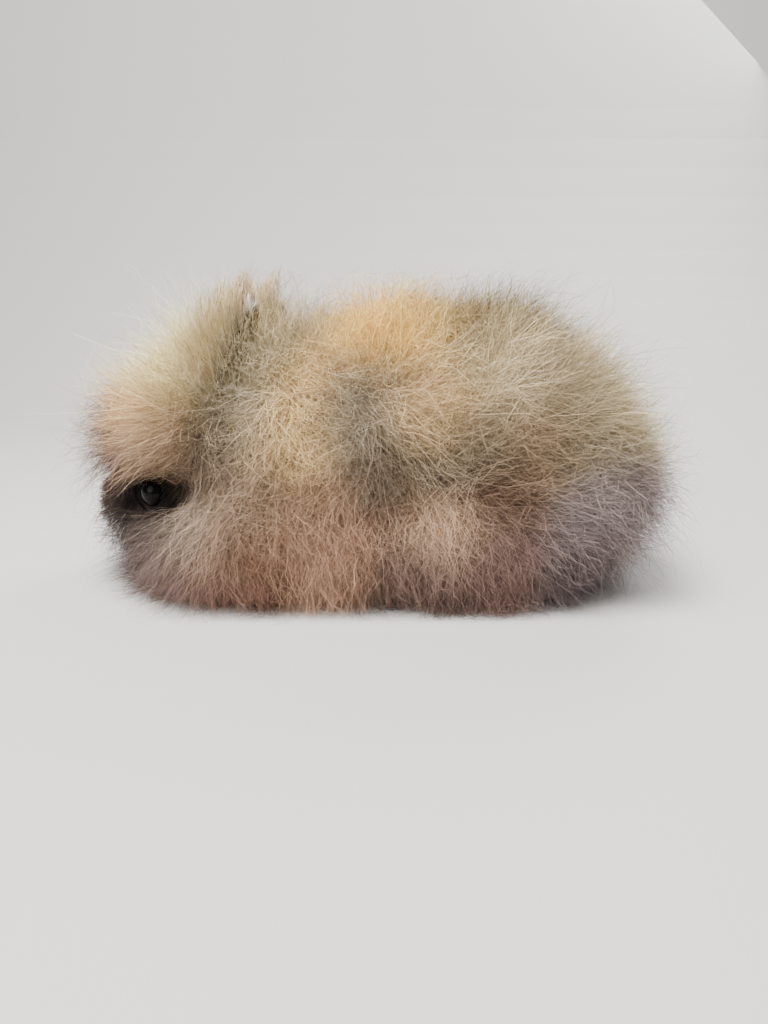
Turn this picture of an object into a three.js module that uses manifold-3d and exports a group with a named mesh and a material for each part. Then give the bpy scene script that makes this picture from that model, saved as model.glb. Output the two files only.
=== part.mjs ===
// A lionhead rabbit at rest, feet tucked under, as a still, life-size model. Millimetres, +Z up.
// The nose points along -X and the animal's left side faces -Y.
// The origin is on the floor, under the middle of the belly.
import * as THREE from "three";
import { mergeVertices } from "three/addons/utils/BufferGeometryUtils.js";
import Module from "manifold-3d";

const wasm = await Module();
wasm.setup();

// Driving dimensions
const gap = 0.3; // left between neighbouring solids
const touching = 0.002; // corners this close count as touching
const fusedEase = 0.3; // how far a fused surface may shift as it loses its slivers
const cutEase = 0.05; // the same after the cuts, well under the gap
const bellyHeight = 0; // the flat underside of the belly is the floor level
const bellySag = -4; // how low the rings reach before the floor flattens them
const headTurn = THREE.MathUtils.degToRad(-10); // the head looks a little away from the left side
const headPivot = new THREE.Vector3(-62, 0, 0); // it turns about the neck
const farOut = 260; // reach of the solids that part the nodes, well past the coat

// Stations along X: x, half width, top, bottom. They run through the half depth of the coat.
const torsoStations = [
  [-66, 38, 104, bellySag],
  [-44, 43, 112, bellySag],
  [-18, 48, 121, bellySag],
  [12, 51, 127, bellySag],
  [42, 51, 124, bellySag],
  [68, 47, 112, bellySag],
  [88, 40, 95, 0],
  [104, 30, 74, 6],
  [113, 15, 54, 18],
];
const neckStations = [
  [-118, 14, 9, bellySag],
  [-110, 26, 16, bellySag],
  [-96, 36, 28, bellySag],
  [-82, 40, 56, bellySag],
  [-68, 42, 92, bellySag],
  [-52, 44, 112, bellySag],
  [-34, 46, 118, bellySag],
  [-6, 48, 124, bellySag],
  [24, 50, 128, bellySag],
];
// The skull with its short hair, which stays bare of wool at the muzzle
const skullStations = [
  [-52, 12, 62, 38],
  [-64, 20, 75, 26],
  [-78, 23, 78, 20],
  [-92, 23.5, 75, 16],
  [-104, 20.5, 67, 16.5],
  [-114, 16, 58, 19],
  [-122, 13, 51, 21.5],
  [-129, 10, 45, 25],
  [-133, 6, 41, 29],
];
const ringSquareness = 2.25; // 2 is an ellipse, more is boxier
const widestAt = 0.42; // height of a ring's widest place, as a share

// Rounded forms that fill out the head: centre and radii. A form off the middle stands on both sides
const woolCap = { centre: [-76, 0, 70], radii: [27, 33, 33] };
const forelock = { centre: [-106, 0, 74], radii: [21, 25, 16] };
const sideWool = { centre: [-82, 22, 36], radii: [17, 16, 25] };
const whiskerPad = { centre: [-124, 6.2, 30.5], radii: [9, 7, 6.6] };
const chin = { centre: [-117, 0, 22], radii: [9, 7.5, 5.2] };
const nostril = { centre: [-132, 3.1, 36.8], radii: [2.6, 0.75, 1.5] };
const nostrilSlant = [0.5, 0, -0.55]; // its turns about X, Y and Z, in radians
const cleft = { centre: [-132, 0, 31], size: [12, 0.9, 8.5] };
const mouthFront = [-140, 27.6]; // where the line of the mouth begins and ends, as x and z
const mouthCorner = [-113, 21.6];
const mouthBend = [-124, 25.4];
const mouthGape = 1; // height of the line of the mouth
const mouthWidth = 30;

// Eyes
const eyeRadius = 8.6;
const eyeCentre = new THREE.Vector3(-101, 18.6, 45.5); // of the far one; the near one is mirrored
const eyeAim = new THREE.Vector3(-0.3, 0.94, 0.12).normalize();
const lidRadius = 7.6;
const lidThickness = 1.9;

// Ears, laid up and back
const earLength = 62;
const earWidth = 12; // radius of the rolled leaf where it is widest
const earSkin = 2.2;
const earRoom = 0.9; // the room an ear stands in is this much wider
const earBase = new THREE.Vector3(-71, 14, 70);
const earTip = new THREE.Vector3(-51, 20, 131);
const earOpens = new THREE.Vector3(0.88, 0.42, -0.1).normalize();

// Feet
const forepawLength = 46;
const hindFootLength = 74;
const heelX = 78;
const haunchCentre = new THREE.Vector3(57, 0, 32);
const haunchSize = [42, 35]; // half length and half height of the haunch where it leaves the belly
const haunchFlare = 1.3; // how much wider it is at the tips of the coat
const haunchStart = 21; // distance of its inner face from the middle
const haunchBulge = { centre: [57, 31, 32], radii: [41, 22, 35] };

// Tail
const tailRoot = new THREE.Vector3(99, 0, 36);
const tailAim = new THREE.Vector3(0.94, 0, 0.34).normalize();
const tailRadius = 12.5;
const tailLength = 26;

// Profiles of the cuts between head, neck and torso, as x and z, from the floor up
const jawCut = [
  [-230, -30],
  [-229, 5],
  [-128, 8],
  [-108, 12],
  [-92, 17],
  [-78, 28],
  [-66, 50],
  [-57, 86],
  [-44, 150],
  [-30, 210],
];
const shoulderCut = [
  [-62, -30],
  [-56, 20],
  [-44, 62],
  [-18, 100],
  [14, 136],
  [70, 190],
];

// Locks
const lockThickness = 4.4;
const lockSink = 5; // how deep a root sits in its body
const lockWidth = { crown: 23, beard: 19, ruff: 25, back: 28, tail: 12 };
const lockLength = { crown: 36, beard: 28, ruff: 33, chest: 29, back: 42, tail: 22 };

const vec = (x, y, z) => new THREE.Vector3(x, y, z);

// A repeatable random draw
function seeded(seed) {
  let state = seed >>> 0;
  return () => {
    state = (state + 0x6d2b79f5) >>> 0;
    let t = state;
    t = Math.imul(t ^ (t >>> 15), t | 1);
    t ^= t + Math.imul(t ^ (t >>> 7), t | 61);
    return ((t ^ (t >>> 14)) >>> 0) / 4294967296;
  };
}

// Geometry to solid and back
function solid(geometry) {
  const plain = geometry.clone();
  plain.deleteAttribute("normal");
  plain.deleteAttribute("uv");
  const merged = mergeVertices(plain, 1e-4);
  const made = new wasm.Manifold(
    new wasm.Mesh({
      numProp: 3,
      vertProperties: new Float32Array(merged.attributes.position.array),
      triVerts: new Uint32Array(merged.index.array),
    }),
  );
  if (made.volume() > 0) return made;
  const turned = merged.index.array.slice();
  for (let i = 0; i < turned.length; i += 3) [turned[i], turned[i + 1]] = [turned[i + 1], turned[i]];
  return new wasm.Manifold(
    new wasm.Mesh({
      numProp: 3,
      vertProperties: new Float32Array(merged.attributes.position.array),
      triVerts: new Uint32Array(turned),
    }),
  );
}

function geometryOf(made) {
  const mesh = made.getMesh();
  const places = new Float32Array(mesh.numVert * 3);
  for (let i = 0; i < mesh.numVert; i++) {
    places.set(mesh.vertProperties.subarray(i * mesh.numProp, i * mesh.numProp + 3), i * 3);
  }
  drawApart(places, mesh.triVerts);
  const geometry = new THREE.BufferGeometry();
  geometry.setAttribute("position", new THREE.BufferAttribute(places, 3));
  geometry.setIndex(new THREE.BufferAttribute(new Uint32Array(mesh.triVerts), 1));
  geometry.computeVertexNormals();
  return geometry;
}

// Corners of the surface that only touch each other are drawn apart, each towards its own faces
function drawApart(places, faces) {
  const seen = new Map();
  const corner = (i) => vec(places[i * 3], places[i * 3 + 1], places[i * 3 + 2]);
  for (let i = 0; i < places.length / 3; i++) {
    const key = corner(i)
      .toArray()
      .map((value) => Math.round(value / touching))
      .join();
    seen.set(key, [...(seen.get(key) ?? []), i]);
  }
  const shared = new Set([...seen.values()].filter((group) => group.length > 1).flat());
  const sums = new Map([...shared].map((i) => [i, { sum: vec(0, 0, 0), count: 0 }]));
  faces.forEach((i, at) => {
    if (!shared.has(i)) return;
    const first = at - (at % 3);
    const entry = sums.get(i);
    for (let k = first; k < first + 3; k++) entry.sum.add(corner(faces[k]));
    entry.count += 3;
  });
  sums.forEach(({ sum, count }, i) => {
    const moved = corner(i).lerp(sum.divideScalar(count), 0.05);
    places.set(moved.toArray(), i * 3);
  });
}

const united = (solids) => wasm.Manifold.union(solids);

// Several solids as one, without the slivers where they cross. Cuts come after this
const fused = (solids) => united(solids).simplify(fusedEase);

// Only the largest closed body of a solid, without slivers
function mainBody(made) {
  const bodies = made.simplify(cutEase).decompose();
  return bodies.reduce((best, body) => (body.volume() > best.volume() ? body : best));
}

// A closed body through rings of points, each ring with the same number of points
function throughRings(rings) {
  const around = rings[0].length;
  const places = [];
  const faces = [];
  rings.forEach((ring) => ring.forEach((p) => places.push(p.x, p.y, p.z)));
  for (let i = 0; i + 1 < rings.length; i++) {
    for (let j = 0; j < around; j++) {
      const a = i * around + j;
      const b = i * around + ((j + 1) % around);
      faces.push(a, b, a + around, b, b + around, a + around);
    }
  }
  [0, rings.length - 1].forEach((i) => {
    const middle = rings[i].reduce((sum, p) => sum.add(p), vec(0, 0, 0)).divideScalar(around);
    const centre = places.length / 3;
    places.push(middle.x, middle.y, middle.z);
    for (let j = 0; j < around; j++) {
      const a = i * around + j;
      const b = i * around + ((j + 1) % around);
      faces.push(...(i === 0 ? [centre, b, a] : [centre, a, b]));
    }
  });
  const geometry = new THREE.BufferGeometry();
  geometry.setAttribute("position", new THREE.Float32BufferAttribute(places, 3));
  geometry.setIndex(faces);
  return geometry;
}

// Rings between stations follow a smooth curve through them
function between(stations, share) {
  const at = share * (stations.length - 1);
  const i = Math.min(Math.floor(at), stations.length - 2);
  const t = at - i;
  const row = (k) => stations[Math.min(Math.max(k, 0), stations.length - 1)];
  return stations[0].map((_, c) => {
    const [p0, p1, p2, p3] = [row(i - 1)[c], row(i)[c], row(i + 1)[c], row(i + 2)[c]];
    return (
      0.5 *
      (2 * p1 +
        (p2 - p0) * t +
        (2 * p0 - 5 * p1 + 4 * p2 - p3) * t * t +
        (3 * p1 - p0 - 3 * p2 + p3) * t * t * t)
    );
  });
}

function ringAt([x, halfWidth, top, bottom], around) {
  const middle = bottom + (top - bottom) * widestAt;
  const power = 2 / ringSquareness;
  return Array.from({ length: around }, (_, j) => {
    const angle = (2 * Math.PI * j) / around;
    const [s, c] = [Math.sin(angle), Math.cos(angle)];
    const across = halfWidth * Math.sign(s) * Math.abs(s) ** power;
    const reach = c > 0 ? top - middle : middle - bottom;
    return vec(x, across, middle + reach * Math.sign(c) * Math.abs(c) ** power);
  });
}

function bodyAlong(stations, steps, around) {
  const rings = Array.from({ length: steps + 1 }, (_, i) => ringAt(between(stations, i / steps), around));
  return solid(throughRings(rings));
}

function ellipsoid(centre, radii, detail) {
  const ball = new THREE.SphereGeometry(1, detail, Math.round(detail * 0.7));
  return solid(ball.scale(...radii).translate(...centre));
}

// A rounded form on one side of the animal, or on the middle
const formOn = ({ centre: [x, y, z], radii }, side, detail) => ellipsoid([x, y * side, z], radii, detail);

// A tube through points with one radius across and one up at each, for feet
function limb(points, around = 12, grow = 0) {
  const curve = new THREE.CatmullRomCurve3(points.map(([x, y, z]) => vec(x, y, z)));
  const steps = 9;
  const rings = Array.from({ length: steps + 1 }, (_, i) => {
    const t = i / steps;
    const place = curve.getPoint(t);
    const along = curve.getTangent(t);
    const side = vec(0, 1, 0).addScaledVector(along, -along.y).normalize();
    const up = side.clone().cross(along).normalize();
    if (up.z < 0) up.negate();
    const [, , , wide, high] = between(points, t);
    const end = i === 0 ? -grow : i === steps ? grow : 0;
    return Array.from({ length: around }, (_, j) => {
      const angle = (2 * Math.PI * j) / around;
      const p = place.clone().addScaledVector(along, end);
      p.addScaledVector(side, Math.cos(angle) * (wide + grow));
      p.addScaledVector(up, Math.sin(angle) * (high + grow));
      p.z = Math.max(p.z, grow > 0 ? -1 : bellyHeight);
      return p;
    });
  });
  return solid(throughRings(rings));
}

// Everything on one side of a profile in x and z, right through the animal
function sideOf(profile, direction, shift) {
  const shape = new THREE.Shape();
  const moved = profile.map(([x, z]) => [x + direction * shift, z]);
  shape.moveTo(...moved[0]);
  moved.slice(1).forEach(([x, z]) => shape.lineTo(x, z));
  shape.lineTo(direction * farOut, moved.at(-1)[1]);
  shape.lineTo(direction * farOut, moved[0][1]);
  const slab = new THREE.ExtrudeGeometry(shape, { depth: 2 * farOut, bevelEnabled: false });
  slab.rotateX(Math.PI / 2).translate(0, farOut, 0);
  return solid(slab);
}

const floorSide = solid(
  new THREE.BoxGeometry(2 * farOut, 2 * farOut, farOut).translate(0, 0, farOut / 2 + bellyHeight),
);

// A lock's bands: place along it, and shares of its full width and thickness there
const lockBands = [
  [0, 0.55, 1],
  [0.34, 1, 0.85],
  [0.68, 0.66, 0.6],
];

// One flat, tapered lock: its root is sunk in the body, it leaves along heading and bends towards lie
function lock({ root, heading, lie, outward, length, width }) {
  const centre = (s) => {
    const p = root.clone().addScaledVector(heading, -lockSink * (1 - s) + s * length * (1 - 0.38 * s));
    p.addScaledVector(lie, length * 0.48 * s * s);
    p.z = Math.max(p.z, bellyHeight + lockThickness / 2 + 0.4);
    return p;
  };
  const rings = lockBands.map(([s, wideShare, thickShare]) => {
    const p = centre(s);
    const along = centre(s + 0.02).sub(p).normalize();
    const side = along.clone().cross(outward).normalize().multiplyScalar((width / 2) * wideShare);
    const up = side.clone().cross(along).normalize().multiplyScalar((lockThickness / 2) * thickShare);
    return [p.clone().add(side), p.clone().add(up), p.clone().sub(side), p.clone().sub(up)];
  });
  const tip = centre(1);
  const places = [];
  const faces = [];
  rings.flat().forEach((p) => places.push(p.x, p.y, p.z));
  places.push(tip.x, tip.y, tip.z);
  const tipAt = rings.length * 4;
  for (let i = 0; i + 1 < rings.length; i++) {
    for (let j = 0; j < 4; j++) {
      const a = i * 4 + j;
      const b = i * 4 + ((j + 1) % 4);
      faces.push(a, b, a + 4, b, b + 4, a + 4);
    }
  }
  for (let j = 0; j < 4; j++) faces.push(tipAt - 4 + j, tipAt - 4 + ((j + 1) % 4), tipAt);
  faces.push(0, 3, 1, 1, 3, 2);
  const geometry = new THREE.BufferGeometry();
  geometry.setAttribute("position", new THREE.Float32BufferAttribute(places, 3));
  geometry.setIndex(faces);
  return solid(geometry);
}

// Where a ray from inside the core leaves it, and which way the surface faces there
function surfaceFinder(core) {
  const mesh = new THREE.Mesh(geometryOf(core), new THREE.MeshBasicMaterial({ side: THREE.DoubleSide }));
  const caster = new THREE.Raycaster();
  return (from, direction) => {
    caster.set(from, direction);
    const hit = caster.intersectObject(mesh).at(-1);
    if (!hit) return null;
    const facing = hit.face.normal.clone();
    if (facing.dot(direction) < 0) facing.negate();
    const outward = facing.multiplyScalar(0.6).addScaledVector(direction, 0.4).normalize();
    return { root: hit.point.clone(), outward };
  };
}

// The part of a direction that runs along the surface
const alongSurface = (direction, outward) =>
  direction.clone().addScaledVector(outward, -direction.dot(outward));

// The x of a cut's profile at a height
function cutAt(profile, z) {
  const i = Math.max(profile.findLastIndex(([, low]) => low <= z), 0);
  const [x0, z0] = profile[i];
  const [x1, z1] = profile[i + 1] ?? profile[i];
  return z1 > z0 ? THREE.MathUtils.mapLinear(z, z0, z1, x0, x1) : x0;
}

// Locks in staggered rows round a line inside the core. style gives each lock's lie and sizes,
// or null where there is none
function coatOf(core, rows, style, seed) {
  const find = surfaceFinder(core);
  const draw = seeded(seed);
  const locks = [];
  rows.forEach(({ from, to, count, spread = [-Math.PI, Math.PI] }, row) => {
    const axis = to.clone().sub(from).normalize();
    const side = vec(0, 1, 0).addScaledVector(axis, -axis.y).normalize();
    const up = side.clone().cross(axis).normalize();
    if (up.z < 0) up.negate();
    for (let k = 0; k < count; k++) {
      const share = (k + (row % 2 ? 0.5 : 0) + (draw() - 0.5) * 0.3) / count;
      const angle = spread[0] + (spread[1] - spread[0]) * share;
      const direction = up
        .clone()
        .multiplyScalar(Math.cos(angle))
        .addScaledVector(side, Math.sin(angle))
        .addScaledVector(axis, (draw() - 0.5) * 0.12)
        .normalize();
      const hit = find(from, direction);
      const chosen = hit && style(hit.root, hit.outward, draw);
      if (!chosen) continue;
      const vary = 0.9 + 0.25 * draw();
      const lie = alongSurface(chosen.lie, hit.outward).normalize();
      lie.addScaledVector(lie.clone().cross(hit.outward), (draw() - 0.5) * 0.5);
      const heading = hit.outward.clone().multiplyScalar(chosen.stand).add(lie).normalize();
      locks.push(
        lock({
          ...hit,
          heading,
          lie: lie.multiplyScalar(chosen.curl ?? 1),
          length: chosen.length * vary,
          width: chosen.width * (0.92 + 0.2 * draw()),
        }),
      );
    }
  });
  return locks;
}

// Both sides of the animal from one function of the side's sign
const bothSides = (make) => [-1, 1].map(make);
const mirrored = (p, side) => vec(p.x, p.y * side, p.z);

// Solids that part the nodes
const headSide = sideOf(jawCut, -1, gap / 2);
const behindHead = sideOf(jawCut, 1, gap / 2);
const beforeShoulder = sideOf(shoulderCut, -1, gap / 2);
const behindShoulder = sideOf(shoulderCut, 1, gap / 2);

const headFrame = new THREE.Matrix4()
  .makeTranslation(headPivot.x, headPivot.y, headPivot.z)
  .multiply(new THREE.Matrix4().makeRotationZ(headTurn))
  .multiply(new THREE.Matrix4().makeTranslation(-headPivot.x, -headPivot.y, -headPivot.z));
const turnedWithHead = (made) => made.transform([...headFrame.elements]);
const intoHeadFrame = (made) => made.transform([...headFrame.clone().invert().elements]);

// Forelegs: from the elbow to the toes, lying on the floor under the chest
const forelegPoints = (side) => [
  [-62, side * 22, 24, 10, 11],
  [-74, side * 20, 13, 9.5, 10],
  [-90, side * 17, 7.2, 8.5, 7.4],
  [-62 - forepawLength + 4, side * 15.5, 5.6, 8, 5.8],
  [-62 - forepawLength, side * 15, 4.6, 5.5, 4.4],
];
// Hind feet: from the heel to the toes, flat under the flank
const hindFootPoints = (side) => [
  [heelX, side * 34, 12, 8, 12],
  [heelX - 12, side * 35, 8, 9, 8.4],
  [heelX - 38, side * 36, 5.6, 10, 6],
  [heelX - hindFootLength + 8, side * 35, 5.4, 9.4, 5.8],
  [heelX - hindFootLength, side * 34, 4.2, 6, 4.2],
];

// The haunch leaves the belly as an oval plug that widens with the coat
function haunchPlug(side, grow) {
  const sections = [
    [haunchStart - grow, 0.86],
    [44, 1],
    [farOut / 2, haunchFlare * 1.9],
  ];
  const rings = sections.map(([away, scale]) =>
    Array.from({ length: 20 }, (_, j) => {
      const angle = (2 * Math.PI * j) / 20;
      return vec(
        haunchCentre.x + Math.cos(angle) * (haunchSize[0] * scale + grow),
        side * away,
        haunchCentre.z + Math.sin(angle) * (haunchSize[1] * scale + grow),
      );
    }),
  );
  return solid(throughRings(rings));
}

// The tail's own space in the rump, widening outwards
function tailPlug(grow) {
  const side = vec(0, 1, 0);
  const up = side.clone().cross(tailAim).negate();
  const sections = [
    [-grow, 0.95],
    [16, 1.2],
    [70, 2.6],
  ];
  const rings = sections.map(([away, scale]) =>
    Array.from({ length: 12 }, (_, j) => {
      const angle = (2 * Math.PI * j) / 12;
      return tailRoot
        .clone()
        .addScaledVector(tailAim, away)
        .addScaledVector(side, Math.cos(angle) * (tailRadius * scale + grow))
        .addScaledVector(up, Math.sin(angle) * (tailRadius * scale + grow));
    }),
  );
  return solid(throughRings(rings));
}

// An ear: a leaf rolled about its length, open on one side. filled gives the room it stands in
function earShape(side, filled) {
  const base = mirrored(earBase, side);
  const tip = mirrored(earTip, side);
  const opens = mirrored(earOpens, side);
  const along = tip.clone().sub(base).normalize();
  const front = alongSurface(opens, along).normalize();
  const across = along.clone().cross(front).normalize();
  const steps = 9;
  const arcPoints = filled ? 11 : 8;
  const ends = filled ? [gap, 3] : [0, 0];
  const rings = [];
  for (let i = 0; i <= steps; i++) {
    const s = i / steps;
    const room = filled ? earRoom : 0;
    const radius = earWidth * (0.52 + 1.35 * s - 0.25 * s * s - 1.42 * s ** 4.5) + room;
    const open = filled ? Math.PI : THREE.MathUtils.degToRad(158 - 46 * Math.sin(Math.PI * s));
    const centre = base
      .clone()
      .addScaledVector(along, earLength * s - (i === 0 ? ends[0] : 0) + (i === steps ? ends[1] : 0))
      .addScaledVector(front, -5 * Math.sin(Math.PI * s));
    const place = (angle, r) =>
      centre
        .clone()
        .addScaledVector(front, -Math.cos(angle) * r)
        .addScaledVector(across, Math.sin(angle) * r * 0.92);
    const arc = Array.from({ length: arcPoints + 1 }, (_, j) => -open + (2 * open * j) / arcPoints);
    const outer = arc.map((angle) => place(angle, radius));
    if (filled) {
      rings.push(outer.slice(0, -1));
    } else {
      const innerRadius = Math.max(radius - earSkin, radius * 0.25);
      rings.push([...outer, ...arc.map((angle) => place(-angle, innerRadius))]);
    }
  }
  return solid(throughRings(rings));
}

// The line of the mouth, a thin curved slot right across the muzzle
function mouthLine() {
  const shape = new THREE.Shape();
  shape.moveTo(...mouthFront);
  shape.quadraticCurveTo(...mouthBend, ...mouthCorner);
  shape.lineTo(mouthCorner[0], mouthCorner[1] + mouthGape);
  shape.quadraticCurveTo(mouthBend[0], mouthBend[1] + mouthGape, mouthFront[0], mouthFront[1] + mouthGape);
  const line = new THREE.ExtrudeGeometry(shape, {
    depth: mouthWidth,
    bevelEnabled: false,
    curveSegments: 5,
  });
  return solid(line.rotateX(Math.PI / 2).translate(0, mouthWidth / 2, 0));
}

// Head, in its own frame before it turns
function makeHead() {
  const forms = bothSides((side) => [formOn(sideWool, side, 10), formOn(whiskerPad, side, 10)]);
  const core = united([
    bodyAlong(skullStations, 11, 16),
    formOn(woolCap, 1, 12),
    formOn(forelock, 1, 11),
    formOn(chin, 1, 10),
    ...forms.flat(),
  ]);

  // A lid stands round each eye
  const lids = bothSides((side) => {
    const ring = new THREE.TorusGeometry(lidRadius, lidThickness, 6, 16);
    const aim = mirrored(eyeAim, side);
    ring.applyQuaternion(new THREE.Quaternion().setFromUnitVectors(vec(0, 0, 1), aim));
    const out = Math.sqrt(eyeRadius ** 2 - lidRadius ** 2) + 0.6;
    const place = mirrored(eyeCentre, side).addScaledVector(aim, out);
    return solid(ring.translate(place.x, place.y, place.z));
  });

  // Nostrils and the line of the mouth
  const nostrils = bothSides((side) => {
    const [x, y, z] = nostril.centre;
    const slit = new THREE.SphereGeometry(1, 8, 6).scale(...nostril.radii);
    slit.rotateZ(side * nostrilSlant[2]).rotateX(side * nostrilSlant[0]);
    return solid(slit.translate(x, y * side, z));
  });
  const lipCleft = solid(new THREE.BoxGeometry(...cleft.size).translate(...cleft.centre));

  // The mane of the head: forelock forward over the brow, crown up and cheeks down
  const rowLine = (x, z, tilt) => ({
    from: vec(x, 0, z),
    to: vec(x - Math.cos(tilt), 0, z - Math.sin(tilt)),
  });
  const rows = [
    { ...rowLine(-73, 58, 0), count: 8, spread: [-2.4, 2.4] },
    { ...rowLine(-85, 56, 0.15), count: 8, spread: [-2.5, 2.5] },
    { ...rowLine(-96, 60, 0.3), count: 7, spread: [-2.2, 2.2] },
    { ...rowLine(-108, 68, 0.5), count: 6, spread: [-1.5, 1.5] },
  ];
  const style = (root) => {
    const low = root.z < 34;
    const onFace = root.x < -82 && root.z < 60 && !(low && root.x > -98);
    if (onFace || root.x > cutAt(jawCut, root.z)) return null;
    const forward = THREE.MathUtils.smoothstep(-root.x, 86, 114);
    const crown = THREE.MathUtils.smoothstep(root.z, 70, 98) * (1 - forward);
    return {
      lie: low ? vec(-0.5, 0, -1) : vec(-0.7, 0, 0.35 - 0.9 * forward),
      stand: 0.75 + 2.4 * crown,
      curl: 1 - 0.6 * crown,
      length: low ? lockLength.beard : lockLength.crown + 20 * crown - 11 * forward,
      width: lockWidth.crown,
    };
  };
  const mane = coatOf(core, rows, style, 11);

  // The beard hangs from the jaw to the floor
  const beardRows = [
    { ...rowLine(-111, 27, 0.1), count: 3, spread: [2.1, 4.18] },
    { ...rowLine(-98, 30, 0.1), count: 6, spread: [1.85, 4.43] },
  ];
  const beard = coatOf(
    core,
    beardRows,
    (root) => ({
      lie: vec(-0.75, Math.sign(root.y) * 0.25, -0.5),
      stand: 1.1,
      length: lockLength.beard,
      width: lockWidth.beard,
    }),
    12,
  );
  const roomRadii = Array(3).fill(eyeRadius + gap * 1.5);
  const eyeRooms = bothSides((side) => ellipsoid(mirrored(eyeCentre, side).toArray(), roomRadii, 16));
  const earRooms = bothSides((side) => earShape(side, true));
  const legRooms = bothSides((side) => intoHeadFrame(limb(forelegPoints(side), 12, gap)));
  const rooms = [...nostrils, lipCleft, mouthLine(), ...eyeRooms, ...earRooms, ...legRooms];
  return mainBody(
    fused([core, ...lids, ...mane, ...beard])
      .subtract(united(rooms))
      .intersect(headSide)
      .intersect(floorSide),
  );
}

// Neck and chest, with the ruff
function makeNeck() {
  const core = bodyAlong(neckStations, 11, 18);
  const line = (x, z, lean) => ({ from: vec(x, 0, z), to: vec(x + 1, 0, z + lean) });
  const rows = [
    { ...line(-106, 6, 0.35), count: 6, spread: [-2.0, 2.0] },
    { ...line(-92, 14, 0.35), count: 6, spread: [-2.1, 2.1] },
    { ...line(-76, 34, 0.3), count: 8, spread: [-2.25, 2.25] },
    { ...line(-56, 54, 0), count: 10, spread: [-2.2, 2.2] },
    { ...line(-38, 60, 0), count: 6, spread: [-1.3, 1.3] },
    { ...line(-20, 64, 0), count: 5, spread: [-0.9, 0.9] },
  ];
  const style = (root) => {
    const outside = root.x < cutAt(jawCut, root.z) || root.x > cutAt(shoulderCut, root.z) - 4;
    if (outside) return null;
    const top = THREE.MathUtils.smoothstep(root.z, 70, 112);
    const front = root.x < -96;
    return {
      lie: front ? vec(-0.9, 0, -0.6) : vec(0.15 + 0.4 * top, 0, -1 + 0.9 * top),
      stand: 0.6 + 1.9 * top,
      length: front ? lockLength.chest : lockLength.ruff + 5 * top,
      width: lockWidth.ruff,
    };
  };
  const ruff = coatOf(core, rows, style, 21);
  const rooms = bothSides((side) => limb(forelegPoints(side), 12, gap));
  const earRooms = bothSides((side) => turnedWithHead(earShape(side, true)));
  return mainBody(
    fused([core, ...ruff])
      .subtract(united([...rooms, ...earRooms]))
      .intersect(turnedWithHead(behindHead))
      .intersect(beforeShoulder)
      .intersect(floorSide),
  );
}

const trunkCore = bodyAlong(torsoStations, 12, 18);

function bodyStyle(root) {
  if (root.x < cutAt(shoulderCut, root.z) + 2) return null;
  const top = THREE.MathUtils.smoothstep(root.z, 72, 118);
  const rump = THREE.MathUtils.smoothstep(root.x, 80, 118);
  return {
    lie: vec(0.5 + 0.4 * top, 0, -0.8 + 0.5 * top),
    stand: 0.56 + 1.5 * top * (1 - rump),
    length: lockLength.back - 8 * rump,
    width: lockWidth.back,
  };
}

// Torso with the coat of the back, flanks and rump
function makeTorso() {
  const line = (x, z) => ({ from: vec(x, 0, z), to: vec(x + 1, 0, z) });
  const rows = [
    [-38, 54, 9],
    [-15, 56, 10],
    [8, 58, 10],
    [30, 58, 10],
    [51, 56, 10],
    [71, 52, 9],
    [89, 46, 8],
  ].map(([x, z, count]) => ({ ...line(x, z), count, spread: [-2.35, 2.35] }));
  // Round the end of the rump the rows stand upright
  const rumpRows = [60, 32].map((z) => ({
    from: vec(84, 0, z),
    to: vec(84, 0, z + 1),
    count: 4,
    spread: [-1, 1],
  }));
  rows.push(...rumpRows);
  const coat = coatOf(trunkCore, rows, bodyStyle, 31);
  const rooms = bothSides((side) => haunchPlug(side, gap));
  const feet = bothSides((side) => limb(hindFootPoints(side), 12, gap));
  const forelegs = bothSides((side) => limb(forelegPoints(side), 12, gap));
  return mainBody(
    fused([trunkCore, ...coat])
      .subtract(united([...rooms, ...feet, ...forelegs, tailPlug(gap)]))
      .intersect(behindShoulder)
      .intersect(floorSide),
  );
}

// Hind leg: haunch with its coat, and the long foot under it
function makeHindLeg(side) {
  const plug = haunchPlug(side, 0);
  const flank = united([trunkCore, formOn(haunchBulge, side, 10)]);
  const core = flank.intersect(plug);
  const rows = [24, 39, 54, 69, 84].map((x) => ({
    from: vec(x, 0, haunchCentre.z),
    to: vec(x + 1, 0, haunchCentre.z),
    count: 3,
    spread: [side * 0.8, side * 1.95],
  }));
  const inPlug = (root) =>
    Math.hypot((root.x - haunchCentre.x) / haunchSize[0], (root.z - haunchCentre.z) / haunchSize[1]) < 1;
  const style = (root) => (inPlug(root) ? bodyStyle(root) : null);
  const coat = coatOf(flank, rows, style, 41 + side);
  const foot = limb(hindFootPoints(side), 12);
  const haunch = fused([core, ...coat]).intersect(plug);
  return mainBody(united([haunch, foot]).intersect(floorSide));
}

// Tail: a short brush turned up against the rump
function makeTail() {
  const centre = tailRoot.clone().addScaledVector(tailAim, tailLength * 0.4);
  const core = united([
    ellipsoid(centre.toArray(), [tailLength * 0.5, tailRadius * 0.82, tailRadius * 0.9], 10),
    tailPlug(0).intersect(trunkCore),
  ]);
  const rows = [0.35, 0.75].map((share, i) => {
    const from = tailRoot.clone().addScaledVector(tailAim, tailLength * share);
    return { from, to: from.clone().add(tailAim), count: 5 - i };
  });
  const coat = coatOf(
    core,
    rows,
    () => ({ lie: tailAim.clone(), stand: 0.5, length: lockLength.tail, width: lockWidth.tail }),
    51,
  );
  return mainBody(fused([core, ...coat]).intersect(tailPlug(0)).intersect(floorSide));
}

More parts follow.
